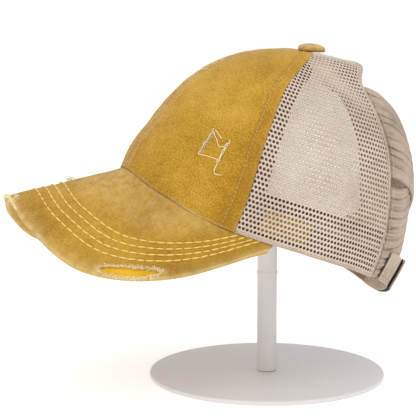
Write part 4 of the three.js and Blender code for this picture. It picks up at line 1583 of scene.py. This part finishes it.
# %% Helpers for turned pieces
def turned_mesh(name, profile, segments):
    """Closed mesh turned from (radius, height) points, each end of which lies on the axis."""
    profile = np.asarray(profile, float)
    around = np.linspace(0, 2 * np.pi, segments, endpoint=False)
    rings = profile[1:-1]
    points = np.stack([
        rings[:, :1] * np.cos(around), rings[:, :1] * np.sin(around), rings[:, 1:] + 0 * around,
    ], -1).reshape(-1, 3)
    points = np.concatenate([points, [[0, 0, profile[0, 1]], [0, 0, profile[-1, 1]]]])
    at = np.arange(len(rings) * segments).reshape(len(rings), segments)
    after = np.roll(at, -1, axis=1)
    faces = np.stack([at[:-1], after[:-1], after[1:], at[1:]], -1).reshape(-1, 4).tolist()
    first, last = len(points) - 2, len(points) - 1
    faces += [[first, int(b), int(a)] for a, b in zip(at[0], after[0])]
    faces += [[last, int(a), int(b)] for a, b in zip(at[-1], after[-1])]
    area = np.sum(profile[:-1, 0] * profile[1:, 1] - profile[1:, 0] * profile[:-1, 1])
    if area < 0:
        faces = [face[::-1] for face in faces]
    mesh = bpy.data.meshes.new(name)
    mesh.from_pydata(points.tolist(), [], faces)
    mesh.shade_smooth()
    run = np.concatenate([[0], np.cumsum(np.linalg.norm(np.diff(profile, axis=0), axis=1))])
    turn = rings[:, :1] * around
    cloth = np.stack([turn, run[1:-1, None] + 0 * turn, 0 * turn], -1).reshape(-1, 3)
    cloth = np.concatenate([cloth, [[0, run[0], 0], [0, run[-1], 0]]])
    layer = mesh.attributes.new("cloth", "FLOAT_VECTOR", "POINT")
    layer.data.foreach_set("vector", cloth.astype(np.float32).ravel())
    return mesh, points


def rounded(corners, radius, steps=6):
    """Profile with its inner corners rounded off, each by its own radius."""
    corners = np.asarray(corners, float)
    radii = np.broadcast_to(radius, len(corners))
    out = [corners[0]]
    for before, corner, following, r in zip(corners[:-2], corners[1:-1], corners[2:], radii[1:-1]):
        a, b = before - corner, following - corner
        near = min(r, 0.49 * np.linalg.norm(a), 0.49 * np.linalg.norm(b))
        start, end = corner + a / np.linalg.norm(a) * near, corner + b / np.linalg.norm(b) * near
        t = np.linspace(0, 1, steps)[:, None]
        out.extend((1 - t) ** 2 * start + 2 * t * (1 - t) * corner + t**2 * end)
    out.append(corners[-1])
    return np.array(out)


print("pieces can be turned")

# %% [markdown]
# The button is a tin blank with twill drawn over it. A plain turned shape would look machined,
# so it is dented a little and folded round its foot. Its top has been rubbed pale, while its
# foot keeps its dye, and it leans back a little less than the crown's top.

# %% Button
BUTTON_RADIUS = 8.5 * MM
BUTTON_HEIGHT = 5 * MM
BUTTON_SIDE = 0.45 * BUTTON_HEIGHT
BUTTON_LEAN = np.radians(13)
slope = np.linspace(0, np.pi / 2, 16)[::-1]
button_top = np.stack([
    BUTTON_RADIUS * np.sin(slope), BUTTON_SIDE + (BUTTON_HEIGHT - BUTTON_SIDE) * np.cos(slope),
], -1)
button_profile = np.concatenate([
    [(0, 0), (BUTTON_RADIUS * 0.5, 0), (BUTTON_RADIUS * 0.9, 0.02 * MM),
     (BUTTON_RADIUS * 0.97, 0.4 * MM), (BUTTON_RADIUS, 1.2 * MM)], button_top,
])
button_mesh, points = turned_mesh("button_cloth", button_profile, 56)
height = points[:, 2] / BUTTON_HEIGHT
dents = waves(points, 7 * MM, 81) * 0.22 * MM * smoothstep(height, 0.2, 0.7)
around = np.arctan2(points[:, 1], points[:, 0])
folds = np.sin(around * 17 + 2 * waves(points, 9 * MM, 83)) * (1 - smoothstep(height, 0.2, 0.6))
points[:, 2] += dents
points[:, :2] *= (1 + 0.1 * MM * folds / BUTTON_RADIUS)[:, None]
rubbed = smoothstep(height, 0.08, 0.4) * (0.85 + 0.15 * waves(points, 5 * MM, 85))
kept_dye = 0.2 * (1 - smoothstep(height, 0.05, 0.2))
for fact, values in {"wear": np.clip(rubbed, 0, 1), "deep": kept_dye}.items():
    layer = button_mesh.attributes.new(fact, "FLOAT", "POINT")
    layer.data.foreach_set("value", values.astype(np.float32))
rise = points[:, 2] - 0.5 * MM
points = np.stack([
    points[:, 0], points[:, 1] * np.cos(BUTTON_LEAN) - rise * np.sin(BUTTON_LEAN),
    points[:, 1] * np.sin(BUTTON_LEAN) + rise * np.cos(BUTTON_LEAN),
], -1)
placed = on_stand(points + np.array([0, 0, CROWN_HEIGHT + 0.5 * MM]))
button_mesh.vertices.foreach_set("co", placed.astype(np.float32).ravel())
button_mesh.update()
dress(button_mesh, washed_twill, ["crown_button"])
print("the button has", triangles(button_mesh), "triangles")

# %% [markdown]
# The closure at the back is a strap in two tabs with hook tape between them. The inner tab comes
# from the left, is covered with the bands' own cloth and carries the hooks on its outside. The
# outer tab comes from the right and presses on them. Both are narrow walls, sewn round their
# edges.

# %% Strap
STRAP = 1.0 * MM
STRAP_WIDTH = 18 * MM
STRAP_ROWS = (rows_of(1 * MM), rows_of(19 * MM))
GATHER_RISE = 0.55 * MM
OVER_BAND = GATHER_RISE + LAYER_GAP
OVER_INNER_BAND = OVER_BAND - CROSSING_STEP + LAYER_GAP / 2
PAD_BASE = OVER_INNER_BAND + STRAP + SEAM_GAP
PAD = 1.0 * MM
COVER_BASE = PAD_BASE + PAD + SEAM_GAP
STRAP_ROOT = mesh_end(0) + turn_of(6 * MM, 0)
TAB_END, COVER_END = 190.0, 152.0


def strap_wall(name, start, end, height_at, thickness):
    """Grid and mesh of a strap between two angles, at a height above the crown's skin."""
    length = np.radians(abs(end - start)) * CROWN_BACK
    u, w = grid(spread_steps(length, 1.2 * MM, 0.4 * MM), spread_steps(STRAP_WIDTH, 0.9 * MM, 0.4 * MM))
    row = STRAP_ROWS[0] + w * (STRAP_ROWS[1] - STRAP_ROWS[0])
    points, outward = crown(start + (end - start) * u, row)
    points = points + outward * height_at(u)[..., None]
    from_edge = np.minimum.reduce(grid_distances(points))
    dip = -0.16 * MM * gaussian(from_edge - 2 * MM, 0.5 * MM)
    wear = 0.7 * gaussian(from_edge - 0.4 * MM, 0.6 * MM)
    mesh = cloth_wall(name, points, outward, thickness, thickness + dip, under=thickness, facts={
        "wear": wear, "deep": 0 * u,
    })
    return points, outward, mesh


def seam_round(points, outward, lift, inset=2.0 * MM):
    """Line of stitches inside the edge of a strap's grid."""
    s, _, t, _ = grid_distances(points)
    i0, i1 = (int(np.argmin(np.abs(s[:, 0] - x))) for x in (inset, s[-1, 0] - inset))
    j0, j1 = (int(np.argmin(np.abs(t[0] - x))) for x in (inset, t[0, -1] - inset))
    lifted = points + outward * lift
    return np.concatenate([
        lifted[i0:i1, j0], lifted[i1, j0:j1], lifted[i1:i0:-1, j1], lifted[i0, j1:j0:-1],
        lifted[i0:i0 + 1, j0],
    ])


def inner_height(u):
    return OVER_BAND + (OVER_INNER_BAND - OVER_BAND) * smoothstep(u, 0.1, 0.4)


def outer_height(u):
    return COVER_BASE + (OVER_BAND + LAYER_GAP - COVER_BASE) * smoothstep(u, 0.75, 1)


for word, start, end, height_at, cloth in (
    ("left", STRAP_ROOT, TAB_END, inner_height, gathered_jersey),
    ("right", COVER_END, 360 - STRAP_ROOT, outer_height, strap_cloth),
):
    points, outward, mesh = strap_wall(f"strap_cloth_{word}", start, end, height_at, STRAP)
    strap = dress(mesh, cloth, [f"strap_{word}"])
    cut_from(strap, points)
    sewn(f"strap_stitches_{word}", [seam_round(points, outward, STRAP - 0.06 * MM)], 2.6 * MM,
         2.1 * MM, 0.36 * MM, net_thread, seed=91)

# %% [markdown]
# Hook tape is a black woven base with rows of tiny nylon hooks. Here each hook is a short bent
# bristle that a tree sets on the pad's faces.

# %% Hook pad
points, outward, mesh = strap_wall(
    "hook_pad_base", COVER_END, TAB_END, lambda u: PAD_BASE + 0 * u, PAD,
)
pad = dress(mesh, hook_tape, ["strap_hook_pad"])
cut_from(pad, points)

hooking, given = geometry_tree("hooks", {
    "Apart": LENGTH, "Hook Length": LENGTH, "Yarn": LENGTH, "Seed": WHOLE,
})
spread = node(hooking, "GeometryNodeDistributePointsOnFaces", {
    "Mesh": given["Mesh"], "Distance Min": given["Apart"], "Density Max": 4e5, "Seed": given["Seed"],
}, distribute_method="POISSON")
bristle = node(hooking, "GeometryNodeCurvePrimitiveBezierSegment", {
    "Resolution": 4, "Start": (0, 0, 0), "Start Handle": (0, 0, 0.8), "End Handle": (0.15, 0, 1.15),
    "End": (0.5, 0, 0.75),
})
bristle = yarn_along(hooking, bristle, given["Hook Length"], given["Yarn"], 3)
turn = node(hooking, "FunctionNodeRandomValue", {
    "Min": (-0.35, -0.35, 0.0), "Max": (0.35, 0.35, 6.28), "Seed": given["Seed"],
}, **VECTORS)
turned_hook = turned_further(hooking, spread.outputs["Rotation"], turn)
bristles = node(hooking, "GeometryNodeInstanceOnPoints", {
    "Points": spread.outputs["Points"], "Instance": bristle, "Rotation": turned_hook,
})
close_tree(hooking, bristles, given)
hooks = grown("hook_bristles", hooking, mesh, apart=0.9 * MM, hook_length=0.7 * MM,
              yarn=0.07 * MM, seed=7, material=hook_tape)
dress(hooks, None)

# %% [markdown]
# The stand is plain. Its dome is a pressed shell with an even wall, its pole has the slight
# collar that the photograph shows, and its foot is a flat disc with a softened edge. All are
# turned from the same sizes as the CAD model, with more steps and rounded edges.

# %% Stand
DOME_RADIUS, DOME_HEIGHT, DOME_SKIRT, DOME_WALL = 58 * MM, 78 * MM, 20 * MM, 2 * MM
POLE_RADIUS, POLE_LENGTH, SEAT_GAP = 6.25 * MM, 201 * MM, 0.3 * MM
COLLAR_RADIUS, COLLAR_FROM, COLLAR_TO = 6.7 * MM, 62 * MM, 65 * MM
FLANGE_RADIUS, FLANGE_THICKNESS = 13 * MM, 3 * MM
BASE_RADIUS, BASE_THICKNESS = 75 * MM, 3 * MM
dome_middle = BASE_THICKNESS + SEAT_GAP + POLE_LENGTH + SEAT_GAP + DOME_WALL - DOME_HEIGHT


def dome_half(reach, height):
    """Quarter of an ellipse, from the top of the dome to its side."""
    slope = np.linspace(0, np.pi / 2, 48)
    return np.stack([reach * np.sin(slope), height * np.cos(slope)], -1)


inner_radius, inner_height_of_dome = DOME_RADIUS - DOME_WALL, DOME_HEIGHT - DOME_WALL
lip = [(DOME_RADIUS, -DOME_SKIRT + 0.8 * MM), (DOME_RADIUS - 0.3 * MM, -DOME_SKIRT + 0.2 * MM),
       (DOME_RADIUS - 0.8 * MM, -DOME_SKIRT), (inner_radius + 0.6 * MM, -DOME_SKIRT),
       (inner_radius + 0.1 * MM, -DOME_SKIRT + 0.3 * MM), (inner_radius, -DOME_SKIRT + 0.8 * MM)]
profile = np.concatenate([
    dome_half(DOME_RADIUS, DOME_HEIGHT), lip, dome_half(inner_radius, inner_height_of_dome)[::-1],
]) + np.array([0, dome_middle])
dome_mesh, _ = turned_mesh("dome_shell", profile, 96)
dress(dome_mesh, satin_plastic, ["stand_dome"])

fall = inner_height_of_dome * (1 - np.sqrt(1 - (FLANGE_RADIUS / inner_radius) ** 2))
shoulder = POLE_LENGTH - fall - FLANGE_THICKNESS
pole_profile = rounded([
    (0, 0), (POLE_RADIUS, 0), (POLE_RADIUS, COLLAR_FROM), (COLLAR_RADIUS, COLLAR_FROM + 0.6 * MM),
    (COLLAR_RADIUS, COLLAR_TO - 0.6 * MM), (POLE_RADIUS, COLLAR_TO),
    (POLE_RADIUS, shoulder - FLANGE_RADIUS / 2), (FLANGE_RADIUS, shoulder),
    (FLANGE_RADIUS, POLE_LENGTH - fall), (0, POLE_LENGTH),
], 0.5 * MM, 4) + np.array([0, BASE_THICKNESS + SEAT_GAP])
pole_mesh, _ = turned_mesh("pole_tube", pole_profile, 64)
dress(pole_mesh, grey_paint, ["stand_pole"])
base_profile = rounded([
    (0, 0), (BASE_RADIUS, 0), (BASE_RADIUS, BASE_THICKNESS), (0, BASE_THICKNESS),
], 1.0 * MM, 6)
base_mesh, _ = turned_mesh("foot_disc", base_profile, 128)
dress(base_mesh, grey_paint, ["stand_base"])
print("stand:", [triangles(m) for m in (dome_mesh, pole_mesh, base_mesh)], "triangles")

# %% [markdown]
# Distressing leaves two kinds of loose thread. Single yarns are pulled out and lie on the cloth
# in a loop or a line, each with a course of its own, so short lists of places give them. Torn
# edges grow a fringe of short bent fibres, which a tree sets along any line, leaning the way
# that the line says, no two alike.

# %% Trees for yarns and fringes
laying, given = geometry_tree("loose_yarns", {"Yarn": LENGTH, "Sides": WHOLE})
courses = node(laying, "GeometryNodeMeshToCurve", {"Mesh": given["Mesh"]})
round_yarn = node(laying, "GeometryNodeCurvePrimitiveCircle", {
    "Resolution": given["Sides"], "Radius": given["Yarn"],
})
close_tree(laying, node(laying, "GeometryNodeCurveToMesh", {
    "Curve": courses, "Profile Curve": round_yarn, "Fill Caps": True,
}), given)

fringing, given = geometry_tree("fringe", {
    "Apart": LENGTH, "Fibre Length": LENGTH, "Yarn": LENGTH, "Spread": LENGTH, "Seed": WHOLE,
})
roots = node(fringing, "GeometryNodeResampleCurve", {
    "Curve": node(fringing, "GeometryNodeMeshToCurve", {"Mesh": given["Mesh"]}),
    "Length": given["Apart"],
}, mode="LENGTH")
fibre = node(fringing, "GeometryNodeCurvePrimitiveBezierSegment", {
    "Resolution": 5, "Start": (0, 0, -0.1), "Start Handle": (0, 0, 0.45),
    "End Handle": (0.3, 0, 0.95), "End": (0.62, 0.1, 0.8),
})
fibre = yarn_along(fringing, fibre, given["Fibre Length"], given["Yarn"], 4)
upright = node(fringing, "FunctionNodeAlignRotationToVector", {
    "Vector": node(fringing, STORED, {"Name": "lean"}, **VECTORS),
}, axis="Z")
tilt_range = node(fringing, "ShaderNodeCombineXYZ", (given["Spread"], given["Spread"], np.pi))
tilt = node(fringing, "FunctionNodeRandomValue", {
    "Min": node(fringing, VECTOR_MATH, {0: tilt_range, "Scale": -1.0}, **SCALED),
    "Max": tilt_range, "Seed": given["Seed"],
}, **VECTORS)
tilted_fibre = turned_further(fringing, upright, tilt)
lengths = node(fringing, "FunctionNodeRandomValue", {
    "Min_001": 0.4, "Max_001": 1.35, "Seed": given["Seed"],
}, data_type="FLOAT")
fringe = node(fringing, "GeometryNodeInstanceOnPoints", {
    "Points": roots, "Instance": fibre, "Rotation": tilted_fibre, "Scale": lengths.outputs[1],
})
close_tree(fringing, fringe, given)
print("the fringe tree has", len(fringing.nodes), "nodes")

# %% [markdown]
# These functions run the two trees, let a yarn wander, and find a hole's torn outline, which its
# fringe has to follow.

# %% Helpers for loose yarns
def frayed(name, paths, leans, apart, length, yarn, spread, seed, material):
    """Fringe of fibres along paths, leaning along the given directions."""
    source = path_mesh(f"{name}_path", paths, {"lean": leans})
    made = grown(name, fringing, source, apart=apart, fibre_length=length, yarn=yarn,
                 spread=spread, seed=seed, material=material)
    return dress(made, None)


def loose(name, paths, yarn, material, sides=6):
    """Single yarns along courses of points."""
    source = path_mesh(f"{name}_path", paths)
    made = grown(name, laying, source, yarn=yarn, sides=sides, material=material)
    return dress(made, None)


def smooth_course(points, spacing, wobble=0.0, seed=0):
    """Smooth line through a few places, cut to even steps, with a small wander."""
    points = np.asarray(points, float)
    place = np.linspace(0, len(points) - 1, max(6, int(lengths_along(points, 0)[-1] / spacing)))
    line = np.stack([through(points[:, k], place) for k in range(3)], -1)
    wander = np.stack([waves(line, 3 * MM, seed + k, 6) for k in range(3)], -1)
    return line + wander * wobble


def hole_outline(hole, seed, count=220):
    """Torn outline of a hole of the peak: points, normals and directions to the hole's middle."""
    turn = np.linspace(0, 2 * np.pi, count)
    run = run_at(hole["along"]) + hole["length"] / 2 * np.cos(turn)
    torn = torn_by(hole, run, hole["from_edge"] + hole["width"] / 2 * np.sin(turn), seed)
    half = np.maximum(hole["width"] / 2 * np.abs(np.sin(turn)) + torn, 0)
    share = np.interp(run, edge_run, fine_shares)
    line, normal = brim(share, hole["from_edge"] + np.sign(np.sin(turn)) * half)
    middle, _ = brim(share, hole["from_edge"] - 1e-5 + 0 * run)
    inward = middle - line
    inward /= np.maximum(np.linalg.norm(inward, axis=-1, keepdims=True), 1e-6)
    return line, normal, inward


print("yarns can be laid")

# %% [markdown]
# At the tip the yellow cloth over the board has been rubbed bare and bulges out of its hole. Both
# holes have a fringe on each side of their torn outline and a few tangled yellow yarns.

# %% Frayed holes
BULGE = np.array([3.6, 1.9, 1.2]) * MM
slope = np.linspace(0, np.pi, 14)
bulge_mesh, points = turned_mesh("bared_tip_cloth", np.stack([np.sin(slope), np.cos(slope)], -1), 24)
tip_middle, tip_up = brim(np.array([TIP_HOLE["along"]]), TIP_HOLE["from_edge"])
points = points * BULGE + waves(points, 0.8, 97)[:, None] * 0.1 * MM + tip_middle - tip_up * 1.4 * MM
bulge_mesh.vertices.foreach_set("co", points.astype(np.float32).ravel())
bulge_mesh.update()
dress(bulge_mesh, board_cloth)

for k, (word, hole) in enumerate(HOLES.items()):
    line, normal, inward = hole_outline(hole, 40 + 10 * k)
    low_line = line - normal * 0.15 * MM
    frayed(f"{word}_fringe_in", [low_line], [inward * 0.8 + normal * 0.4], 0.42 * MM, 0.9 * MM,
           0.1 * MM, 0.7, 101 + k, cream_yarn)
    frayed(f"{word}_fringe_out", [low_line - inward * 0.3 * MM], [normal * 0.6 - inward], 0.42 * MM,
           1.7 * MM, 0.13 * MM, 0.6, 111 + k, cream_yarn)
    tangle = [line[start::11][:9] + normal[start::11][:9] * 0.4 * MM for start in (0, 4, 9)]
    loose(f"{word}_tangle", [smooth_course(part, 0.6 * MM, 0.7 * MM, seed=150 + k) for part in tangle],
          0.1 * MM, raw_yellow_yarn)

tip_share = np.linspace(-0.13, 0.13, 90)
tip_line, tip_normal = brim(tip_share, 0.6 * MM)
tip_away = tip_line - brim(tip_share, 4 * MM)[0]
tip_away /= np.linalg.norm(tip_away, axis=-1, keepdims=True)
frayed("tip_edge_fringe", [tip_line], [tip_away + tip_normal * 0.5], 0.2 * MM, 1.6 * MM, 0.1 * MM,
       0.9, 121, cream_yarn)

# %% [markdown]
# The left front panel carries a lozenge sewn by hand in undyed thread, as a distressed cap has
# it: a few straight yarns between its corners, a zigzag along one side and a loose tail.
# Places are angles round the crown and rows up it.

# %% Darned lozenge
LOZENGE = {
    "upper side": [(38.5, 2.67), (38.1, 2.2), (37.8, 1.72)],
    "lower side": [(37.8, 1.72), (42.0, 1.80), (46.5, 1.84)],
    "first cross": [(39.2, 2.55), (42.0, 2.39), (44.5, 2.23), (46.0, 2.31)],
    "second cross": [(39.5, 2.63), (41.6, 2.58), (43.8, 2.49)],
    "tail": [(47.0, 2.59), (47.1, 2.2), (47.0, 1.78), (47.5, 1.52), (48.2, 1.41), (51.0, 1.45)],
    "tail twin": [(46.4, 2.45), (46.6, 2.1), (46.6, 1.75)],
}
darning = [
    smooth_course(crown_path(*np.array(places).T, 0.35 * MM), 0.8 * MM, 0.18 * MM, seed=5 * k)
    for k, places in enumerate(LOZENGE.values())
]
share = np.linspace(0, 1, 27)
zigzag = crown_path(
    38.6 + 1.3 * (np.arange(27) % 2) - 0.9 * share, 2.58 - 0.78 * share, 0.35 * MM,
)
loose("darned_lozenge", [*darning, zigzag], 0.2 * MM, cream_yarn)


def upright_from(angle, row, line):
    """The crown's outward direction at a place, once for each point of a line."""
    return crown(np.full(len(line), angle), row)[1]


side_line, tail_line = (
    smooth_course(crown_path(*np.array(places).T, 0.2 * MM), 0.8 * MM)
    for places in ([(38.0, 2.6), (37.7, 2.2), (37.4, 1.75)], [(47.1, 2.5), (47.2, 2.0), (47.8, 1.5)])
)
frayed("lozenge_fringe", [side_line, tail_line],
       [upright_from(37.8, 2.2, side_line), upright_from(47.2, 2.0, tail_line)], 0.5 * MM, 1.1 * MM,
       0.07 * MM, 1.1, 131, cream_yarn)

# %% [markdown]
# Tufts of yarn stand on the centre seam, one curl lies on the peak and one loose end hangs at
# the net's rim. Tufts are a dense short fringe, and the two yarns follow their own courses.

# %% Tufts, curl and loose end
tuft_rows = np.linspace(4.42, 5.2, 60)
tuft_line = crown_path(0.6 + 0 * tuft_rows, tuft_rows, 0.1 * MM)
ragged_run = [part for k, part in enumerate(np.split(tuft_line, 6)) if k in (0, 2, 3, 5)]
tuft_leans = [upright_from(0.0, 4.8, part) for part in ragged_run]
frayed("seam_tufts", ragged_run, tuft_leans, 0.35 * MM, 2.4 * MM, 0.13 * MM, 1.1, 141, cream_yarn)
frayed("seam_tufts_yellow", ragged_run[::2], tuft_leans[::2], 0.4 * MM, 1.8 * MM, 0.14 * MM, 1.2, 143,
       raw_yellow_yarn)

turn = np.linspace(0, 5.2 * np.pi, 60)
curl_root, curl_normal = brim(np.array([-0.02]), np.array([38 * MM]))
curl = curl_root + curl_normal * (1.6 * MM + 0.9 * MM * np.sin(turn * 0.5))[:, None] + np.stack([
    1.6 * MM * np.cos(turn) * (1 - turn / 26), 1.9 * MM * np.sin(turn) + 0.12 * MM * turn, 0 * turn,
], -1)
curl_tail = curl[-1] + np.outer(np.linspace(0, 1, 12), [0.4 * MM, 5 * MM, -1.2 * MM])
curl_course = np.concatenate([curl_root - curl_normal * 0.4 * MM, curl, curl_tail[1:]])
loose("curl_on_peak", [curl_course], 0.24 * MM, cream_yarn)

rim_end, rim_outward = crown(np.array([111.0]), np.array([0.12]))
drop = np.array([[0, 0, 0], [0.6, -1.6, -2.2], [0.9, 0.2, -4.4], [0.8, 2.4, -5.6], [0.9, 2.9, -7.6]]) * MM
loose("loose_rim_yarn", [smooth_course(rim_end + rim_outward * 0.3 * MM + drop, 0.5 * MM)], 0.2 * MM,
      net_thread)
